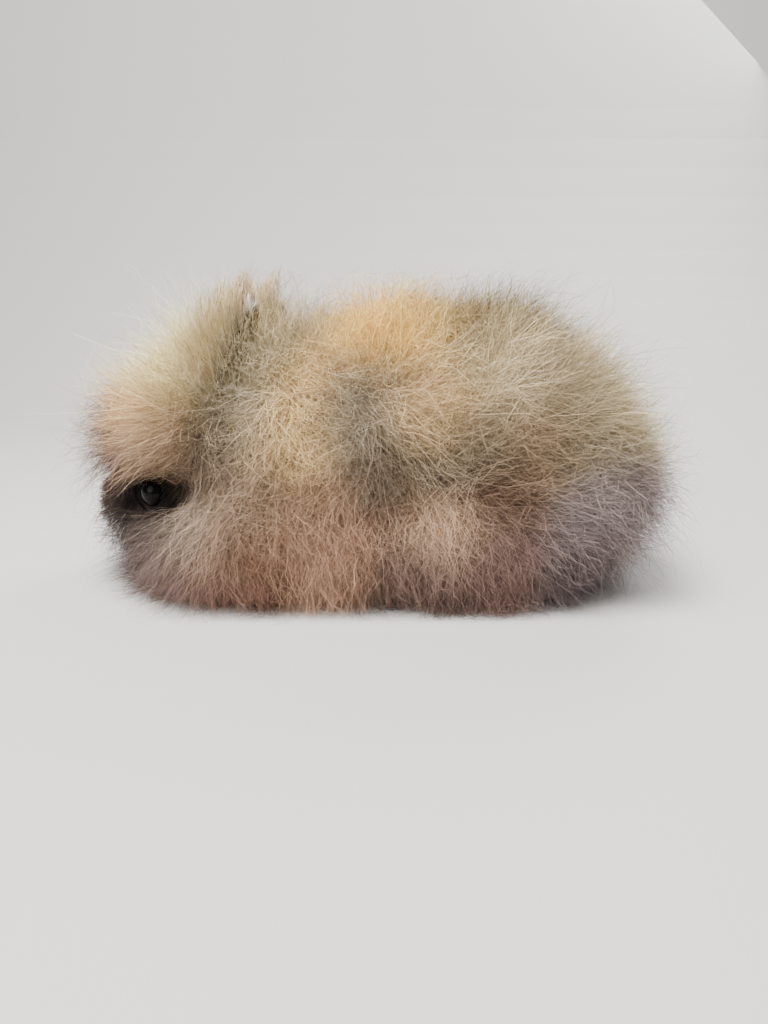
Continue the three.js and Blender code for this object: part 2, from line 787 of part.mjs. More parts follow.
const coatMaterial = (colour) =>
  new THREE.MeshStandardMaterial({ color: colour, roughness: 0.9, metalness: 0 });
const materials = {
  fawn: coatMaterial(0xb89a72),
  grey: coatMaterial(0x8f8378),
  ear: coatMaterial(0x8a8078),
  foot: coatMaterial(0xa28a74),
  eye: new THREE.MeshStandardMaterial({ color: 0x0b0706, roughness: 0.08, metalness: 0 }),
};

function named(name, made, material) {
  const mesh = new THREE.Mesh(made.isBufferGeometry ? made : geometryOf(made), material);
  mesh.name = name;
  return mesh;
}

const rabbit = new THREE.Group();
const headGroup = new THREE.Group();
headGroup.applyMatrix4(headFrame);
rabbit.add(headGroup);

headGroup.add(named("head", makeHead(), materials.fawn));
bothSides((side) => {
  const word = side < 0 ? "left" : "right";
  const eye = named(`eye_${word}`, new THREE.SphereGeometry(eyeRadius, 14, 10), materials.eye);
  eye.position.copy(mirrored(eyeCentre, side));
  headGroup.add(eye);
  headGroup.add(named(`ear_${word}`, earShape(side, false), materials.ear));
  rabbit.add(named(`foreleg_${word}`, limb(forelegPoints(side)).intersect(floorSide), materials.foot));
  rabbit.add(named(`hindleg_${word}`, makeHindLeg(side), materials.fawn));
});
rabbit.add(named("neck", makeNeck(), materials.fawn));
rabbit.add(named("torso", makeTorso(), materials.fawn));
rabbit.add(named("tail", makeTail(), materials.grey));

export default rabbit;
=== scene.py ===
import math

import bpy
import numpy as np
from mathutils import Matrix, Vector


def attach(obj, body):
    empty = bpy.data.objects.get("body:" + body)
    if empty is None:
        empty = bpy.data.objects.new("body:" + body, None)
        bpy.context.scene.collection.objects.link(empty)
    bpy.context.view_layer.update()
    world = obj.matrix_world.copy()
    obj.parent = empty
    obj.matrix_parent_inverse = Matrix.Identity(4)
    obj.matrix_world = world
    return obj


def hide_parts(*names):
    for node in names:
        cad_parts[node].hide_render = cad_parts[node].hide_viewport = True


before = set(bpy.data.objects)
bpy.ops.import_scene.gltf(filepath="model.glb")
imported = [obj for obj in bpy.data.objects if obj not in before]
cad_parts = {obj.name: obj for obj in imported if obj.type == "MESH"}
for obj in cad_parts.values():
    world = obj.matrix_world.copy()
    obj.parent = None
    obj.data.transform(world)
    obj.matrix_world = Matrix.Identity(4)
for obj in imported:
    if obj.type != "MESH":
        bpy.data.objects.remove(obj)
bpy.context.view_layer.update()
draw = np.random.default_rng(7)

# Shapes are in millimetres, with the nose along -X and the left side facing -Y
milli = 0.001
bothSides = (-1, 1)
offFloor = 0.6  # feet and whiskers keep this far above the floor


def linear(colour):
    # light of a screen colour, 0 to 255
    value = np.asarray(colour, float) / 255
    return np.where(value <= 0.04045, value / 12.92, ((value + 0.055) / 1.055) ** 2.4)


def unit(vectors):
    return vectors / np.maximum(np.linalg.norm(vectors, axis=-1, keepdims=True), 1e-9)


def onSide(place, side):
    return np.array(place) * (1, side, 1)


def inTangent(ways, normals):
    return ways - normals * (ways * normals).sum(1, keepdims=True)


def linked(name, data):
    piece = bpy.data.objects.new(name, data)
    bpy.context.collection.objects.link(piece)
    return piece


def paint(mesh, colours):
    tint = np.ones((len(mesh.vertices), 4), np.float32)
    tint[:, :3] = colours
    mesh.attributes.new("tint", "FLOAT_COLOR", "POINT").data.foreach_set("color", tint.ravel())


def setSockets(tree, node, values):
    # each socket takes a value, or a link where it is given a socket
    for name, value in values.items():
        if isinstance(value, bpy.types.NodeSocket):
            tree.links.new(value, node.inputs[name])
        else:
            node.inputs[name].default_value = value
    return node


def addNode(tree, kind, settings, values):
    made = tree.nodes.new(kind)
    for name, value in settings.items():
        setattr(made, name, value)
    return setSockets(tree, made, values)


def tinted(name, roughness, coat=0.0, shine=0.08):
    # a finish that takes its colour from the painted tint
    made = bpy.data.materials.new(name)
    made.use_nodes = True
    tree = made.node_tree
    tint = addNode(tree, "ShaderNodeAttribute", {"attribute_name": "tint"}, {})
    values = {"Base Color": tint.outputs["Color"], "Roughness": roughness}
    values |= {"Coat Weight": coat, "Specular IOR Level": shine}
    setSockets(tree, tree.nodes["Principled BSDF"], values)
    return made


# The studio

camera = {"place": (0.001, -0.357, 0.141), "tilt": 73, "lens": 27.04, "sensor": 36}
sky = {"colour": (0.97, 0.98, 1.0), "strength": 0.42}
floor = {
    "colour": (0.62, 0.6, 0.585),
    "roughness": 0.9,
    "width": 10.0,
    "front": -1.2,
    "back": 0.75,
    "height": 3.2,
    "bend": 0.35,
    "bendSteps": 16,
}
# Each lamp is a disk that looks at the height aim over the origin
lamps = {
    "above": {"at": (-0.15, -0.25, 0.85), "aim": 0.05, "size": 0.4, "power": 20, "colour": (1, 0.98, 0.95)},
    "front": {"at": (-0.75, -0.75, 0.5), "aim": 0.05, "size": 0.8, "power": 7, "colour": (1, 0.98, 0.96)},
    "behind": {"at": (0.45, 0.6, 0.6), "aim": 0.08, "size": 0.5, "power": 7, "colour": (0.97, 0.98, 1)},
}


def makeFloor():
    # paper that bends up behind the animal
    profile = [(floor["front"], 0)]
    for turn in np.linspace(0, math.pi / 2, floor["bendSteps"]):
        y = floor["back"] - floor["bend"] + floor["bend"] * math.sin(turn)
        profile.append((y, floor["bend"] * (1 - math.cos(turn))))
    profile.append((floor["back"], floor["height"]))
    half = floor["width"] / 2
    points = [(x, y, z) for y, z in profile for x in (-half, half)]
    faces = [(2 * i, 2 * i + 1, 2 * i + 3, 2 * i + 2) for i in range(len(profile) - 1)]
    mesh = bpy.data.meshes.new("floor")
    mesh.from_pydata(points, [], faces)
    paper = bpy.data.materials.new("paper")
    paper.use_nodes = True
    tree = paper.node_tree
    values = {"Base Color": (*floor["colour"], 1), "Roughness": floor["roughness"]}
    setSockets(tree, tree.nodes["Principled BSDF"], values)
    mesh.materials.append(paper)
    linked("floor", mesh)


def makeLight():
    world = bpy.data.worlds.new("studio")
    world.use_nodes = True
    tree = world.node_tree
    setSockets(tree, tree.nodes["Background"], {"Color": (*sky["colour"], 1), "Strength": sky["strength"]})
    bpy.context.scene.world = world
    for name, lamp in lamps.items():
        light = bpy.data.lights.new(name, "AREA")
        light.shape, light.size = "DISK", lamp["size"]
        light.energy, light.color = lamp["power"], lamp["colour"]
        holder = linked(name, light)
        holder.location = lamp["at"]
        sight = Vector((0, 0, lamp["aim"])) - holder.location
        holder.rotation_euler = sight.to_track_quat("-Z", "Y").to_euler()


def makeCamera():
    view = bpy.data.cameras.new("camera")
    view.sensor_width, view.lens = camera["sensor"], camera["lens"]
    holder = linked("camera", view)
    holder.location = camera["place"]
    holder.rotation_euler = (math.radians(camera["tilt"]), 0, 0)
    bpy.context.scene.camera = holder


# The turned head: how far the neck turns it, and how that dies away to the rear and toward the floor
neckTurn = {"angle": -10, "pivot": (-62, 0, 0), "from": -48, "over": 22, "above": 10, "within": 16}


def turnShare(points):
    # how much of the neck's turn each place takes
    ahead = np.clip((neckTurn["from"] - points[:, 0]) / neckTurn["over"], 0, 1)
    return ahead * np.clip((points[:, 2] - neckTurn["above"]) / neckTurn["within"], 0, 1)


def turned(points, back=False):
    angle = math.radians(neckTurn["angle"]) * (-1 if back else 1)
    pivot = np.array(neckTurn["pivot"])
    c, s = math.cos(angle), math.sin(angle)
    x, y, z = (points - pivot).T
    return np.stack([x * c - y * s, x * s + y * c, z], 1) + pivot


def turnedWays(ways, back=False):
    return turned(ways + neckTurn["pivot"], back) - neckTurn["pivot"]


def inHead(points):
    # places in the unturned head, the right half laid on the left
    own = turned(points, back=True)
    own[:, 1] = np.abs(own[:, 1])
    return own


# Flesh under the coat: stations along X as x, half width, top, bottom
trunk = [
    (-66, 26, 84, 8),
    (-44, 33, 98, 3),
    (-18, 39, 110, 2),
    (12, 42, 118, 2),
    (42, 42, 115, 2),
    (68, 38, 104, 3),
    (88, 33, 88, 7),
    (103, 25, 68, 13),
    (112, 12, 50, 24),
]
throat = [
    (-104, 12, 12, 3),
    (-94, 22, 24, 2),
    (-82, 29, 44, 2),
    (-68, 32, 78, 2),
    (-52, 34, 98, 2),
    (-34, 36, 106, 2),
]
skull = [
    (-52, 12, 62, 38),
    (-64, 19, 74, 27),
    (-78, 22, 77, 21),
    (-92, 22.5, 74, 17),
    (-104, 19.5, 66, 17.5),
    (-114, 15, 57, 20),
    (-122, 12, 50, 22.5),
    (-129, 9, 44, 26),
    (-133, 5, 40, 30),
]
section = {"squareness": 2.25, "widestAt": 0.42}

# Rounded forms of the head and the trunk: centre, then radii. Off the middle they are doubled
headForms = {
    "crown": ((-77, 0, 68), (21, 25, 28)),
    "forehead": ((-101, 0, 72), (18, 20, 12)),
    "cheek": ((-84, 19, 38), (14, 12, 19)),
    "whiskerPad": ((-123.5, 6, 30.5), (8.6, 6.6, 6.2)),
    "chin": ((-117, 0, 22.5), (8.6, 7, 4.8)),
    "noseTip": ((-131.5, 0, 37), (3.4, 3.6, 3)),
}
trunkForms = {
    "haunch": ((57, 27, 32), (36, 19, 29)),
    "shoulder": ((-50, 26, 34), (20, 14, 26)),
    "tailFlesh": ((108, 0, 40), (13, 8, 8)),
}

# Feet: x, y, z, half width and half height
foreleg = [
    (-62, 22, 24, 8.5, 9.5),
    (-74, 20, 13, 8.5, 9),
    (-90, 17, 7.2, 7.8, 6.8),
    (-104, 15.5, 5.6, 7.2, 5.2),
    (-107, 15, 4.8, 5, 4),
]
hindFoot = [
    (76, 34, 12, 7, 11),
    (66, 35, 8, 8, 7.6),
    (40, 36, 5.8, 9, 5.4),
    (12, 35, 5.4, 8.6, 5.2),
    (5, 34, 4.4, 5.4, 3.8),
]
skinMesh = {"voxel": 0.00115, "soften": 0.5, "passes": 5}


def smoothRows(rows, count):
    # a smooth curve through rows of numbers
    rows = np.array(rows, float)
    at = np.linspace(0, len(rows) - 1, count)
    first = np.minimum(at.astype(int), len(rows) - 2)
    t = (at - first)[:, None]
    a, b, c, d = (rows[np.clip(first + k, 0, len(rows) - 1)] for k in (-1, 0, 1, 2))
    return 0.5 * (2 * b + (c - a) * t + (2 * a - 5 * b + 4 * c - d) * t**2 + (3 * b - a - 3 * c + d) * t**3)


def closedBody(rings):
    # walls between rings of points, and a cap at each end
    count, around = rings.shape[:2]
    faces = []
    for i in range(count - 1):
        for j in range(around):
            a, b = i * around + j, i * around + (j + 1) % around
            faces.append((a, b, b + around, a + around))
    faces.append(tuple(range(around))[::-1])
    faces.append(tuple((count - 1) * around + j for j in range(around)))
    return rings.reshape(-1, 3), faces


def loft(stations, steps=48, around=40):
    angles = np.linspace(0, 2 * np.pi, around, endpoint=False)
    sine, cosine = np.sin(angles), np.cos(angles)
    power = 2 / section["squareness"]
    rings = []
    for x, half, top, bottom in smoothRows(stations, steps):
        middle = bottom + (top - bottom) * section["widestAt"]
        reach = np.where(cosine > 0, top - middle, middle - bottom)
        y = half * np.sign(sine) * np.abs(sine) ** power
        z = middle + reach * np.sign(cosine) * np.abs(cosine) ** power
        rings.append(np.stack([np.full(around, x), y, z], 1))
    return closedBody(np.array(rings))


def ball(centre, radii, steps=20, around=28, poleGap=0.04):
    polar = np.linspace(poleGap, np.pi - poleGap, steps)[:, None]
    angles = np.linspace(0, 2 * np.pi, around, endpoint=False)[None]
    x, y = np.sin(polar) * np.cos(angles), np.sin(polar) * np.sin(angles)
    rings = np.stack(np.broadcast_arrays(x, y, np.cos(polar)), 2)
    return closedBody(rings * radii + centre)


def doubled(forms):
    for centre, radii in forms.values():
        for side in bothSides if centre[1] else (1,):
            yield ball(onSide(centre, side), radii)


def limb(stations, side, steps=24, around=24):
    rows = smoothRows(stations, steps)
    rows[:, 1] *= side
    angles = np.linspace(0, 2 * np.pi, around, endpoint=False)
    along = unit(np.gradient(rows[:, :3], axis=0))
    across = unit(np.array([0.0, 1, 0]) - along * along[:, 1:2])
    up = unit(np.cross(across, along))
    up *= np.sign(up[:, 2:3])
    rings = rows[:, None, :3] + across[:, None] * (np.cos(angles)[None, :, None] * rows[:, None, 3:4])
    rings = rings + up[:, None] * (np.sin(angles)[None, :, None] * rows[:, None, 4:5])
    rings[..., 2] = np.maximum(rings[..., 2], offFloor)
    return closedBody(rings)


# The eye looks out under the brow wool
eye = {"radius": 8.6, "inset": 0.3, "centre": (-101, 18.6, 45.5), "aim": (-0.3, 0.94, 0.12)}
cornea = {"bulge": 0.05, "width": 45}  # share of the radius, and degrees off the aim
# The eye's own dark colours, darkened further as painted shade under the brow wool; its white is painted as
# dark as the iris
eyeLook = {  # pupil, iris and the blend between them in degrees off the aim
    "pupil": 26,
    "iris": 66,
    "blend": 8,
    "dark": (3, 2, 2),
    "brown": (8, 6, 5),
    "white": (6, 5, 4),
    "roughness": 0.15,
    "coat": 0.08,
    "shine": 0.06,
}
# The lids' own dark colour, also painted as shade over the skin and short fur about the eye
lid = {"long": 8.2, "high": 7.2, "thick": 1.8, "out": 4.2, "colour": (13, 10, 9)}


def lidRing(side, steps=40, around=12):
    aim = unit(onSide(eye["aim"], side))
    level = unit(np.cross(aim, (0, 0, 1)))
    up = np.cross(level, aim)
    centre = onSide(eye["centre"], side) + aim * lid["out"]
    points, faces = [], []
    for turn in np.linspace(0, 2 * np.pi, steps, endpoint=False):
        outward = level * math.cos(turn) + up * math.sin(turn)
        middle = centre + level * math.cos(turn) * lid["long"] + up * math.sin(turn) * lid["high"]
        for roll in np.linspace(0, 2 * np.pi, around, endpoint=False):
            points.append(middle + (outward * math.cos(roll) + aim * math.sin(roll)) * lid["thick"])
    for i in range(steps):
        here, there = i * around, (i + 1) % steps * around
        for j in range(around):
            after = (j + 1) % around
            faces.append((here + j, here + after, there + after, there + j))
    return np.array(points), faces


def makeEyes():
    wet = tinted("wet eye", eyeLook["roughness"], eyeLook["coat"], eyeLook["shine"])
    for side, node in ((-1, "eye_left"), (1, "eye_right")):
        aim = unit(onSide(eye["aim"], side))
        points, faces = ball((0, 0, 0), (1, 1, 1), steps=60, around=72)
        angle = np.degrees(np.arccos(np.clip(points @ aim, -1, 1)))
        bulge = 1 + cornea["bulge"] * np.exp(-((angle / cornea["width"]) ** 2))
        points = points * (eye["radius"] - eye["inset"]) * bulge[:, None]
        mesh = bpy.data.meshes.new(node)
        mesh.from_pydata((turned(points + onSide(eye["centre"], side)) * milli).tolist(), [], faces)
        iris = np.clip((angle - eyeLook["pupil"]) / eyeLook["blend"], 0, 1)[:, None]
        white = np.clip((angle - eyeLook["iris"]) / eyeLook["blend"], 0, 1)[:, None]
        dark, brown, pale = (linear(eyeLook[key]) for key in ("dark", "brown", "white"))
        paint(mesh, (dark * (1 - iris) + brown * iris) * (1 - white) + pale * white)
        mesh.materials.append(wet)
        piece = linked("eyeball" + node[3:], mesh)
        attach(piece, "root")
        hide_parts(node)


# The ear is a leaf rolled about its length
ear = {
    "base": (-71, 14, 70),
    "tip": (-51, 20, 131),
    "opens": (0.98, 0.08, -0.1),
    "width": 10.5,
    "skin": 2.2,
    "inset": 0.2,
    "bow": 5,
    "flat": 0.92,
}
# Its radius along it, as shares of its width: it starts, swells, rounds off and closes to the tip
earRadius = {"start": 0.52, "swell": 1.35, "round": 0.25, "close": 1.42, "closing": 4.5}
earRoll = {"ends": 158, "opener": 46, "thinnest": 0.25}  # degrees round, and the least share of the radius
earPart = {"above": 16, "within": 16, "ahead": 3}  # where the skin counts as ear


def earAxes(side):
    base, tip = onSide(ear["base"], side), onSide(ear["tip"], side)
    along = unit(tip - base)
    front = onSide(ear["opens"], side)
    front = unit(front - along * (front @ along))
    return base, along, front, np.linalg.norm(tip - base)


def earLeaf(side, steps=40, arc=26):
    base, along, front, length = earAxes(side)
    across = np.cross(along, front)
    r = earRadius
    rings = []
    for s in np.linspace(0, 1, steps):
        share = r["start"] + r["swell"] * s - r["round"] * s * s - r["close"] * s ** r["closing"]
        outer = ear["width"] * share - ear["inset"]
        inner = max(outer - ear["skin"], outer * earRoll["thinnest"])
        bowed = math.sin(math.pi * s)
        opening = math.radians(earRoll["ends"] - earRoll["opener"] * bowed)
        centre = base + along * length * s - front * ear["bow"] * bowed
        angles = np.linspace(-opening, opening, arc)
        ring = []
        for turns, radius in ((angles, outer), (angles[::-1], inner)):
            out = centre - front * (np.cos(turns) * radius)[:, None]
            ring.append(out + across * (np.sin(turns) * radius * ear["flat"])[:, None])
        rings.append(np.concatenate(ring))
    return closedBody(np.array(rings))


def earPlaces():
    own = turned(bare, back=True)
    found = np.zeros(len(bare), bool)
    for side in bothSides:
        base, along, front, _ = earAxes(side)
        height = (own - base) @ along
        apart = np.linalg.norm(own - base - height[:, None] * along + front * earPart["ahead"], axis=1)
        found |= (height > earPart["above"]) & (apart < earPart["within"]) & (own[:, 1] * side > 0)
    return found


# Fine forms of the muzzle, pressed into the skin
nostril = {"centre": (-132.5, 2.6, 37.4), "radii": (3, 1.3, 1), "deep": 1.6}
cleft = {"ahead": -126, "height": 31.5, "long": 4, "wide": 0.8, "deep": 1.3}
mouth = {"ahead": -112, "thin": 0.8, "deep": 1.1}
mouthLine = {"x": -135, "length": 22, "z": 27.6, "drop": 6, "curve": 1.4}


def joined(bodies):
    points, faces, start = [], [], 0
    for some, its in bodies:
        points.append(some)
        faces += [tuple(i + start for i in face) for face in its]
        start += len(some)
    return np.concatenate(points), faces


def makeFlesh():
    head = [loft(skull), *doubled(headForms)]
    trunkBodies = [loft(trunk), loft(throat), *doubled(trunkForms)]
    for side in bothSides:
        head += [lidRing(side), earLeaf(side)]
        trunkBodies += [limb(foreleg, side), limb(hindFoot, side)]
    head = [(turned(points), faces) for points, faces in head]
    points, faces = joined(head + trunkBodies)
    mesh = bpy.data.meshes.new("flesh")
    mesh.from_pydata((points * milli).tolist(), [], faces)
    piece = linked("skin", mesh)
    remesh = piece.modifiers.new("one skin", "REMESH")
    remesh.mode, remesh.voxel_size = "VOXEL", skinMesh["voxel"]
    soften = piece.modifiers.new("soften", "SMOOTH")
    soften.factor, soften.iterations = skinMesh["soften"], skinMesh["passes"]
    ready = piece.evaluated_get(bpy.context.evaluated_depsgraph_get())
    piece.data = bpy.data.meshes.new_from_object(ready)
    piece.modifiers.clear()
    return piece


def readMesh(mesh):
    points = np.empty(len(mesh.vertices) * 3)
    mesh.vertices.foreach_get("co", points)
    normals = np.empty(len(mesh.vertices) * 3)
    mesh.vertex_normals.foreach_get("vector", normals)
    mesh.calc_loop_triangles()
    corners = np.empty(len(mesh.loop_triangles) * 3, int)
    mesh.loop_triangles.foreach_get("vertices", corners)
    return points.reshape(-1, 3) / milli, normals.reshape(-1, 3), corners.reshape(-1, 3)


def carveFace(mesh):
    points, normals, _ = readMesh(mesh)
    own = turned(points, back=True)
    x, y, z = own.T
    depth = np.zeros(len(own))
    for side in bothSides:
        off = (own - onSide(nostril["centre"], side)) / nostril["radii"]
        depth += nostril["deep"] * np.exp(-(off**2).sum(1))
    fade = np.exp(-((y / cleft["wide"]) ** 2) - ((z - cleft["height"]) / cleft["long"]) ** 2)
    depth += cleft["deep"] * fade * (x < cleft["ahead"])
    along = np.clip((x - mouthLine["x"]) / mouthLine["length"], 0, 1)
    line = mouthLine["z"] - mouthLine["drop"] * along ** mouthLine["curve"]
    depth += mouth["deep"] * np.exp(-(((z - line) / mouth["thin"]) ** 2)) * (x < mouth["ahead"])
    moved = points - normals * depth[:, None]
    mesh.vertices.foreach_set("co", (moved * milli).ravel())
    mesh.update()


# Waves of drift that break up the combing and the edges of the markings,
# with how far they push each of the two
drift = {"lengths": (46, 31, 22, 15, 11), "each": 4, "phases": 6.28, "combing": 0.4, "markings": 1.6}
waves = []
for length in drift["lengths"]:
    for _ in range(drift["each"]):
        wave = unit(draw.normal(size=3)) * 2 * np.pi / length
        waves.append((wave, draw.uniform(0, drift["phases"]), draw.normal(size=3)))


def swirl(points):
    return sum(np.sin(points @ wave + phase)[:, None] * push for wave, phase, push in waves) / drift["each"]


# How the wool is combed. Each row has its place, how far it reaches, the way its hair lies (x,
# outwards, z), how much the hair stands off the skin, and its length
combing = {
    "crown": ((-72, 10, 98), 17, (-0.1, 0.15, 0.9), 2.6, 58),
    "crownFront": ((-98, 10, 90), 15, (-0.8, 0.15, 0.5), 2.4, 40),
    "crownSide": ((-80, 28, 84), 14, (-0.2, 0.4, 0.9), 2.2, 46),
    "forelock": ((-119, 6, 78), 12, (-0.9, 0.1, -0.1), 2.2, 31),
    "brow": ((-106, 20, 66), 10, (-0.7, 0.3, -0.3), 2.2, 22),
    "temple": ((-88, 26, 70), 11, (-0.4, 0.3, -0.4), 2.4, 30),
    "earFoot": ((-66, 26, 74), 9, (-0.2, 0.3, -0.9), 0.7, 13),
    "behindEye": ((-90, 22, 49), 6, (0.5, 0.3, -0.6), 0.4, 8),
    "cheek": ((-84, 28, 34), 13, (-0.25, 0.3, -1), 1.3, 30),
    "cheekFront": ((-104, 19, 30), 9, (-0.3, 0.2, -1), 0.9, 17),
    "muzzle": ((-122, 9, 38), 8, (-0.2, 0.4, -0.6), 1.1, 16),
    "noseBridge": ((-116, 5, 54), 9, (-0.8, 0.3, -0.4), 1.5, 30),
    "nose": ((-134, 0, 36), 3.6, (0.6, 0.2, 0.4), 0.35, 2.5),
    "chin": ((-116, 0, 18), 8, (-0.2, 0.1, -1), 0.5, 15),
    "beard": ((-102, 14, 14), 12, (-0.6, 0.2, -0.7), 1.3, 38),
    "chest": ((-104, 0, 8), 12, (-1, 0.1, -0.2), 1.4, 36),
    "ruffSide": ((-64, 34, 52), 16, (-0.15, 0.2, -1), 1.4, 36),
    "ruffLow": ((-72, 30, 18), 15, (-0.25, 0.3, -0.9), 1.3, 32),
    "ruffTop": ((-44, 10, 104), 17, (0.35, 0, 0.5), 2.2, 38),
    "shoulder": ((-38, 33, 78), 17, (0.15, 0.2, -1), 1.4, 38),
    "hump": ((12, 12, 118), 24, (0.1, 0.1, 0.6), 2.6, 30),
    "backSide": ((4, 36, 92), 17, (0.1, 0.2, 0.7), 1.7, 38),
    "greyHollow": ((-2, 42, 68), 14, (0.05, 0.2, -1), 1.2, 30),
    "whorlUp": ((32, 40, 86), 15, (0.35, 0.1, 0.9), 1.3, 36),
    "whorlBack": ((48, 44, 62), 13, (0.95, 0.15, 0.15), 0.9, 36),
    "fan": ((26, 44, 42), 12, (0.2, 0.2, -1), 0.9, 38),
    "fanLow": ((14, 40, 14), 14, (-0.1, 0.3, -1), 1.1, 25),
    "rumpTop": ((64, 8, 106), 20, (0.7, 0.1, 0.6), 1.9, 35),
    "rumpUpper": ((66, 34, 84), 16, (0.75, 0.15, 0.5), 1.6, 40),
    "rumpSide": ((80, 38, 56), 15, (0.95, 0.2, -0.1), 1.2, 38),
    "rumpEnd": ((108, 10, 58), 15, (0.4, 0.4, 0.4), 2.4, 38),
    "rumpLow": ((88, 32, 24), 16, (0.7, 0.3, -0.5), 1.3, 22),
    "lowFlank": ((54, 44, 20), 16, (0.3, 0.3, -0.9), 1.2, 19),
    "sideLow": ((-22, 38, 20), 18, (0, 0.3, -1), 1.2, 32),
    "sideMid": ((-26, 40, 48), 16, (-0.05, 0.2, -1), 1.2, 36),
    "fringe": ((-121, 8, 62), 10, (-0.9, 0.1, -0.5), 1.5, 40),
    "earHollow": ((-60, 26, 86), 8, (0.1, 0.3, 1), 0.6, 30),
    "neckHollow": ((-58, 35, 58), 8, (-0.1, 0.2, -1), 0.8, 15),
    "flankHollow": ((0, 44, 58), 7, (0, 0.2, -1), 0.7, 14),
    "rumpHollow": ((66, 42, 66), 7, (0.7, 0.2, -0.4), 0.8, 19),
    "lowParting": ((-5, 42, 12), 6, (0.1, 0.3, -1), 0.6, 13),
    "dip": ((-15, 8, 112), 10, (0.2, 0.1, 0.3), 1.6, 18),
    "forepaw": ((-106, 15, 5), 6, (-1, 0.1, 0), 0.2, 4),
    "hindPaw": ((10, 35, 5), 7, (-1, 0.1, 0), 0.2, 5),
}

# Colours of the coat: each row has its place, how far it reaches, and the colour of the hair's tips
# there, 0 to 255. Both sides of the animal are alike. Rows said to be shade paint shade into the tips
markings = {
    "crownCream": ((-81, 21, 112), 17, (255, 236, 174)),
    "forehead": ((-109, 30, 87), 10, (248, 206, 156)),
    "foreheadLow": ((-105, 35, 67), 8, (178, 150, 128)),
    "domeSide": ((-93, 44, 77), 9, (204, 170, 132)),
    "domeRear": ((-77, 46, 92), 9, (180, 154, 120)),
    # Dark grey fur of the face's front edge, darkened further as painted shade
    "shadedFrontEdge": ((-119, 15, 60), 11, (88, 74, 72)),
    "templeBrown": ((-80, 46, 70), 9, (142, 118, 96)),
    # Painted shade in the groove between the head's dome and the ruff
    "domeGrooveShade": ((-67, 45, 66), 8, (98, 84, 74)),
    "earGold": ((-67, 17, 118), 11, (208, 186, 152)),
    "earStreak": ((-56, 38, 100), 11, (190, 186, 174)),
    "streakLow": ((-60, 44, 82), 7, (122, 112, 100)),
    "ruffEdge": ((-52, 46, 83), 7, (212, 190, 158)),
    "eyeShade": ((-103, 23, 46), 8, (14, 11, 10)),
    # Painted shade in the hollow behind the eye
    "shadowNearEye": ((-88, 24, 47), 6, (16, 13, 12)),
    "muzzle": ((-131, 4, 34), 7, (112, 96, 86)),
    # The muzzle's dark grey side, darkened further as painted shade
    "shadedMuzzleSide": ((-120, 15, 40), 8, (58, 50, 48)),
    "cheekCream": ((-67, 46, 32), 8, (228, 206, 180)),
    "cheekFront": ((-91, 40, 36), 9, (104, 94, 86)),
    "cheekRear": ((-76, 43, 38), 7, (150, 134, 120)),
    "beardGrey": ((-114, 10, 14), 12, (106, 98, 94)),
    # Low on the body: the fur's own colour, made darker and pinker as painted shade and painted reflected
    # light
    "beardLow": ((-94, 34, 8), 12, (146, 122, 114)),
    "ruffFawn": ((-60, 50, 54), 10, (176, 154, 130)),
    "ruffGinger": ((-56, 52, 28), 9, (156, 118, 92)),
    "nape": ((-38, 16, 122), 11, (184, 166, 132)),
    "shoulderGold": ((-38, 42, 94), 11, (255, 216, 146)),
    "shoulderPale": ((-38, 46, 74), 9, (250, 214, 156)),
    "neckBrown": ((-50, 50, 50), 8, (158, 130, 106)),
    "greyPatch": ((-8, 50, 92), 11, (176, 162, 140)),
    # Painted shade in the hollow of the flank
    "flankValleyShade": ((0, 60, 66), 9, (134, 117, 99)),
    "humpOrange": ((2, 20, 122), 14, (255, 208, 118)),
    "humpTop": ((24, 8, 130), 13, (222, 190, 126)),
    "backGrey": ((44, 10, 122), 13, (140, 126, 92)),
    "flankFawn": ((20, 56, 94), 10, (236, 202, 150)),
    "flankGrey": ((40, 60, 76), 8, (164, 146, 120)),
    "whorlPale": ((26, 58, 60), 6, (196, 178, 148)),
    "fanPale": ((26, 58, 40), 9, (232, 194, 160)),
    # Low on the body: the fur's own colour, made darker and pinker as painted shade and painted reflected
    # light
    "fanLow": ((18, 50, 12), 10, (140, 114, 104)),
    # Painted shade in the low parting of the wool
    "partingShade": ((-3, 50, 8), 5, (88, 72, 64)),
    "rumpBeige": ((60, 42, 108), 14, (236, 214, 172)),
    "rumpBrown": ((66, 58, 78), 9, (190, 162, 130)),
    "rumpDark": ((52, 62, 54), 9, (140, 114, 94)),
    "rumpPale": ((100, 24, 84), 13, (208, 190, 152)),
    "rumpGrey": ((106, 46, 46), 12, (158, 144, 140)),
    # Low on the body: the fur's own colour, made darker and pinker as painted shade and painted reflected
    # light
    "rumpLow": ((92, 58, 18), 12, (150, 134, 132)),
    # Low on the body: the fur's own colour, made darker and pinker as painted shade and painted reflected
    # light
    "lowFlank": ((54, 62, 22), 10, (152, 122, 112)),
    "ginger": ((-22, 50, 22), 11, (206, 164, 136)),
    "gingerSide": ((-33, 56, 46), 9, (186, 150, 120)),
    # Low on the body: the fur's own colour, made darker and pinker as painted shade and painted reflected
    # light
    "chestLow": ((-66, 46, 8), 10, (150, 114, 100)),
}


def columns(table):
    return [np.array(values, float) for values in zip(*table.values())]


def shares(points, at, reach):
    # how much of each row of a table holds at each place
    turn = turnShare(points)[:, None]
    folded = points * (1 - turn) + turned(points, back=True) * turn
    folded[:, 1] = np.abs(folded[:, 1])
    score = -((folded[:, None] - at) ** 2).sum(2) / (2 * reach**2)
    score = np.exp(score - score.max(1, keepdims=True))
    return score / score.sum(1, keepdims=True)


def tintAt(points):
    at, reach, tips = columns(markings)
    return shares(points + swirl(points) * drift["markings"], at, reach) @ linear(tips)


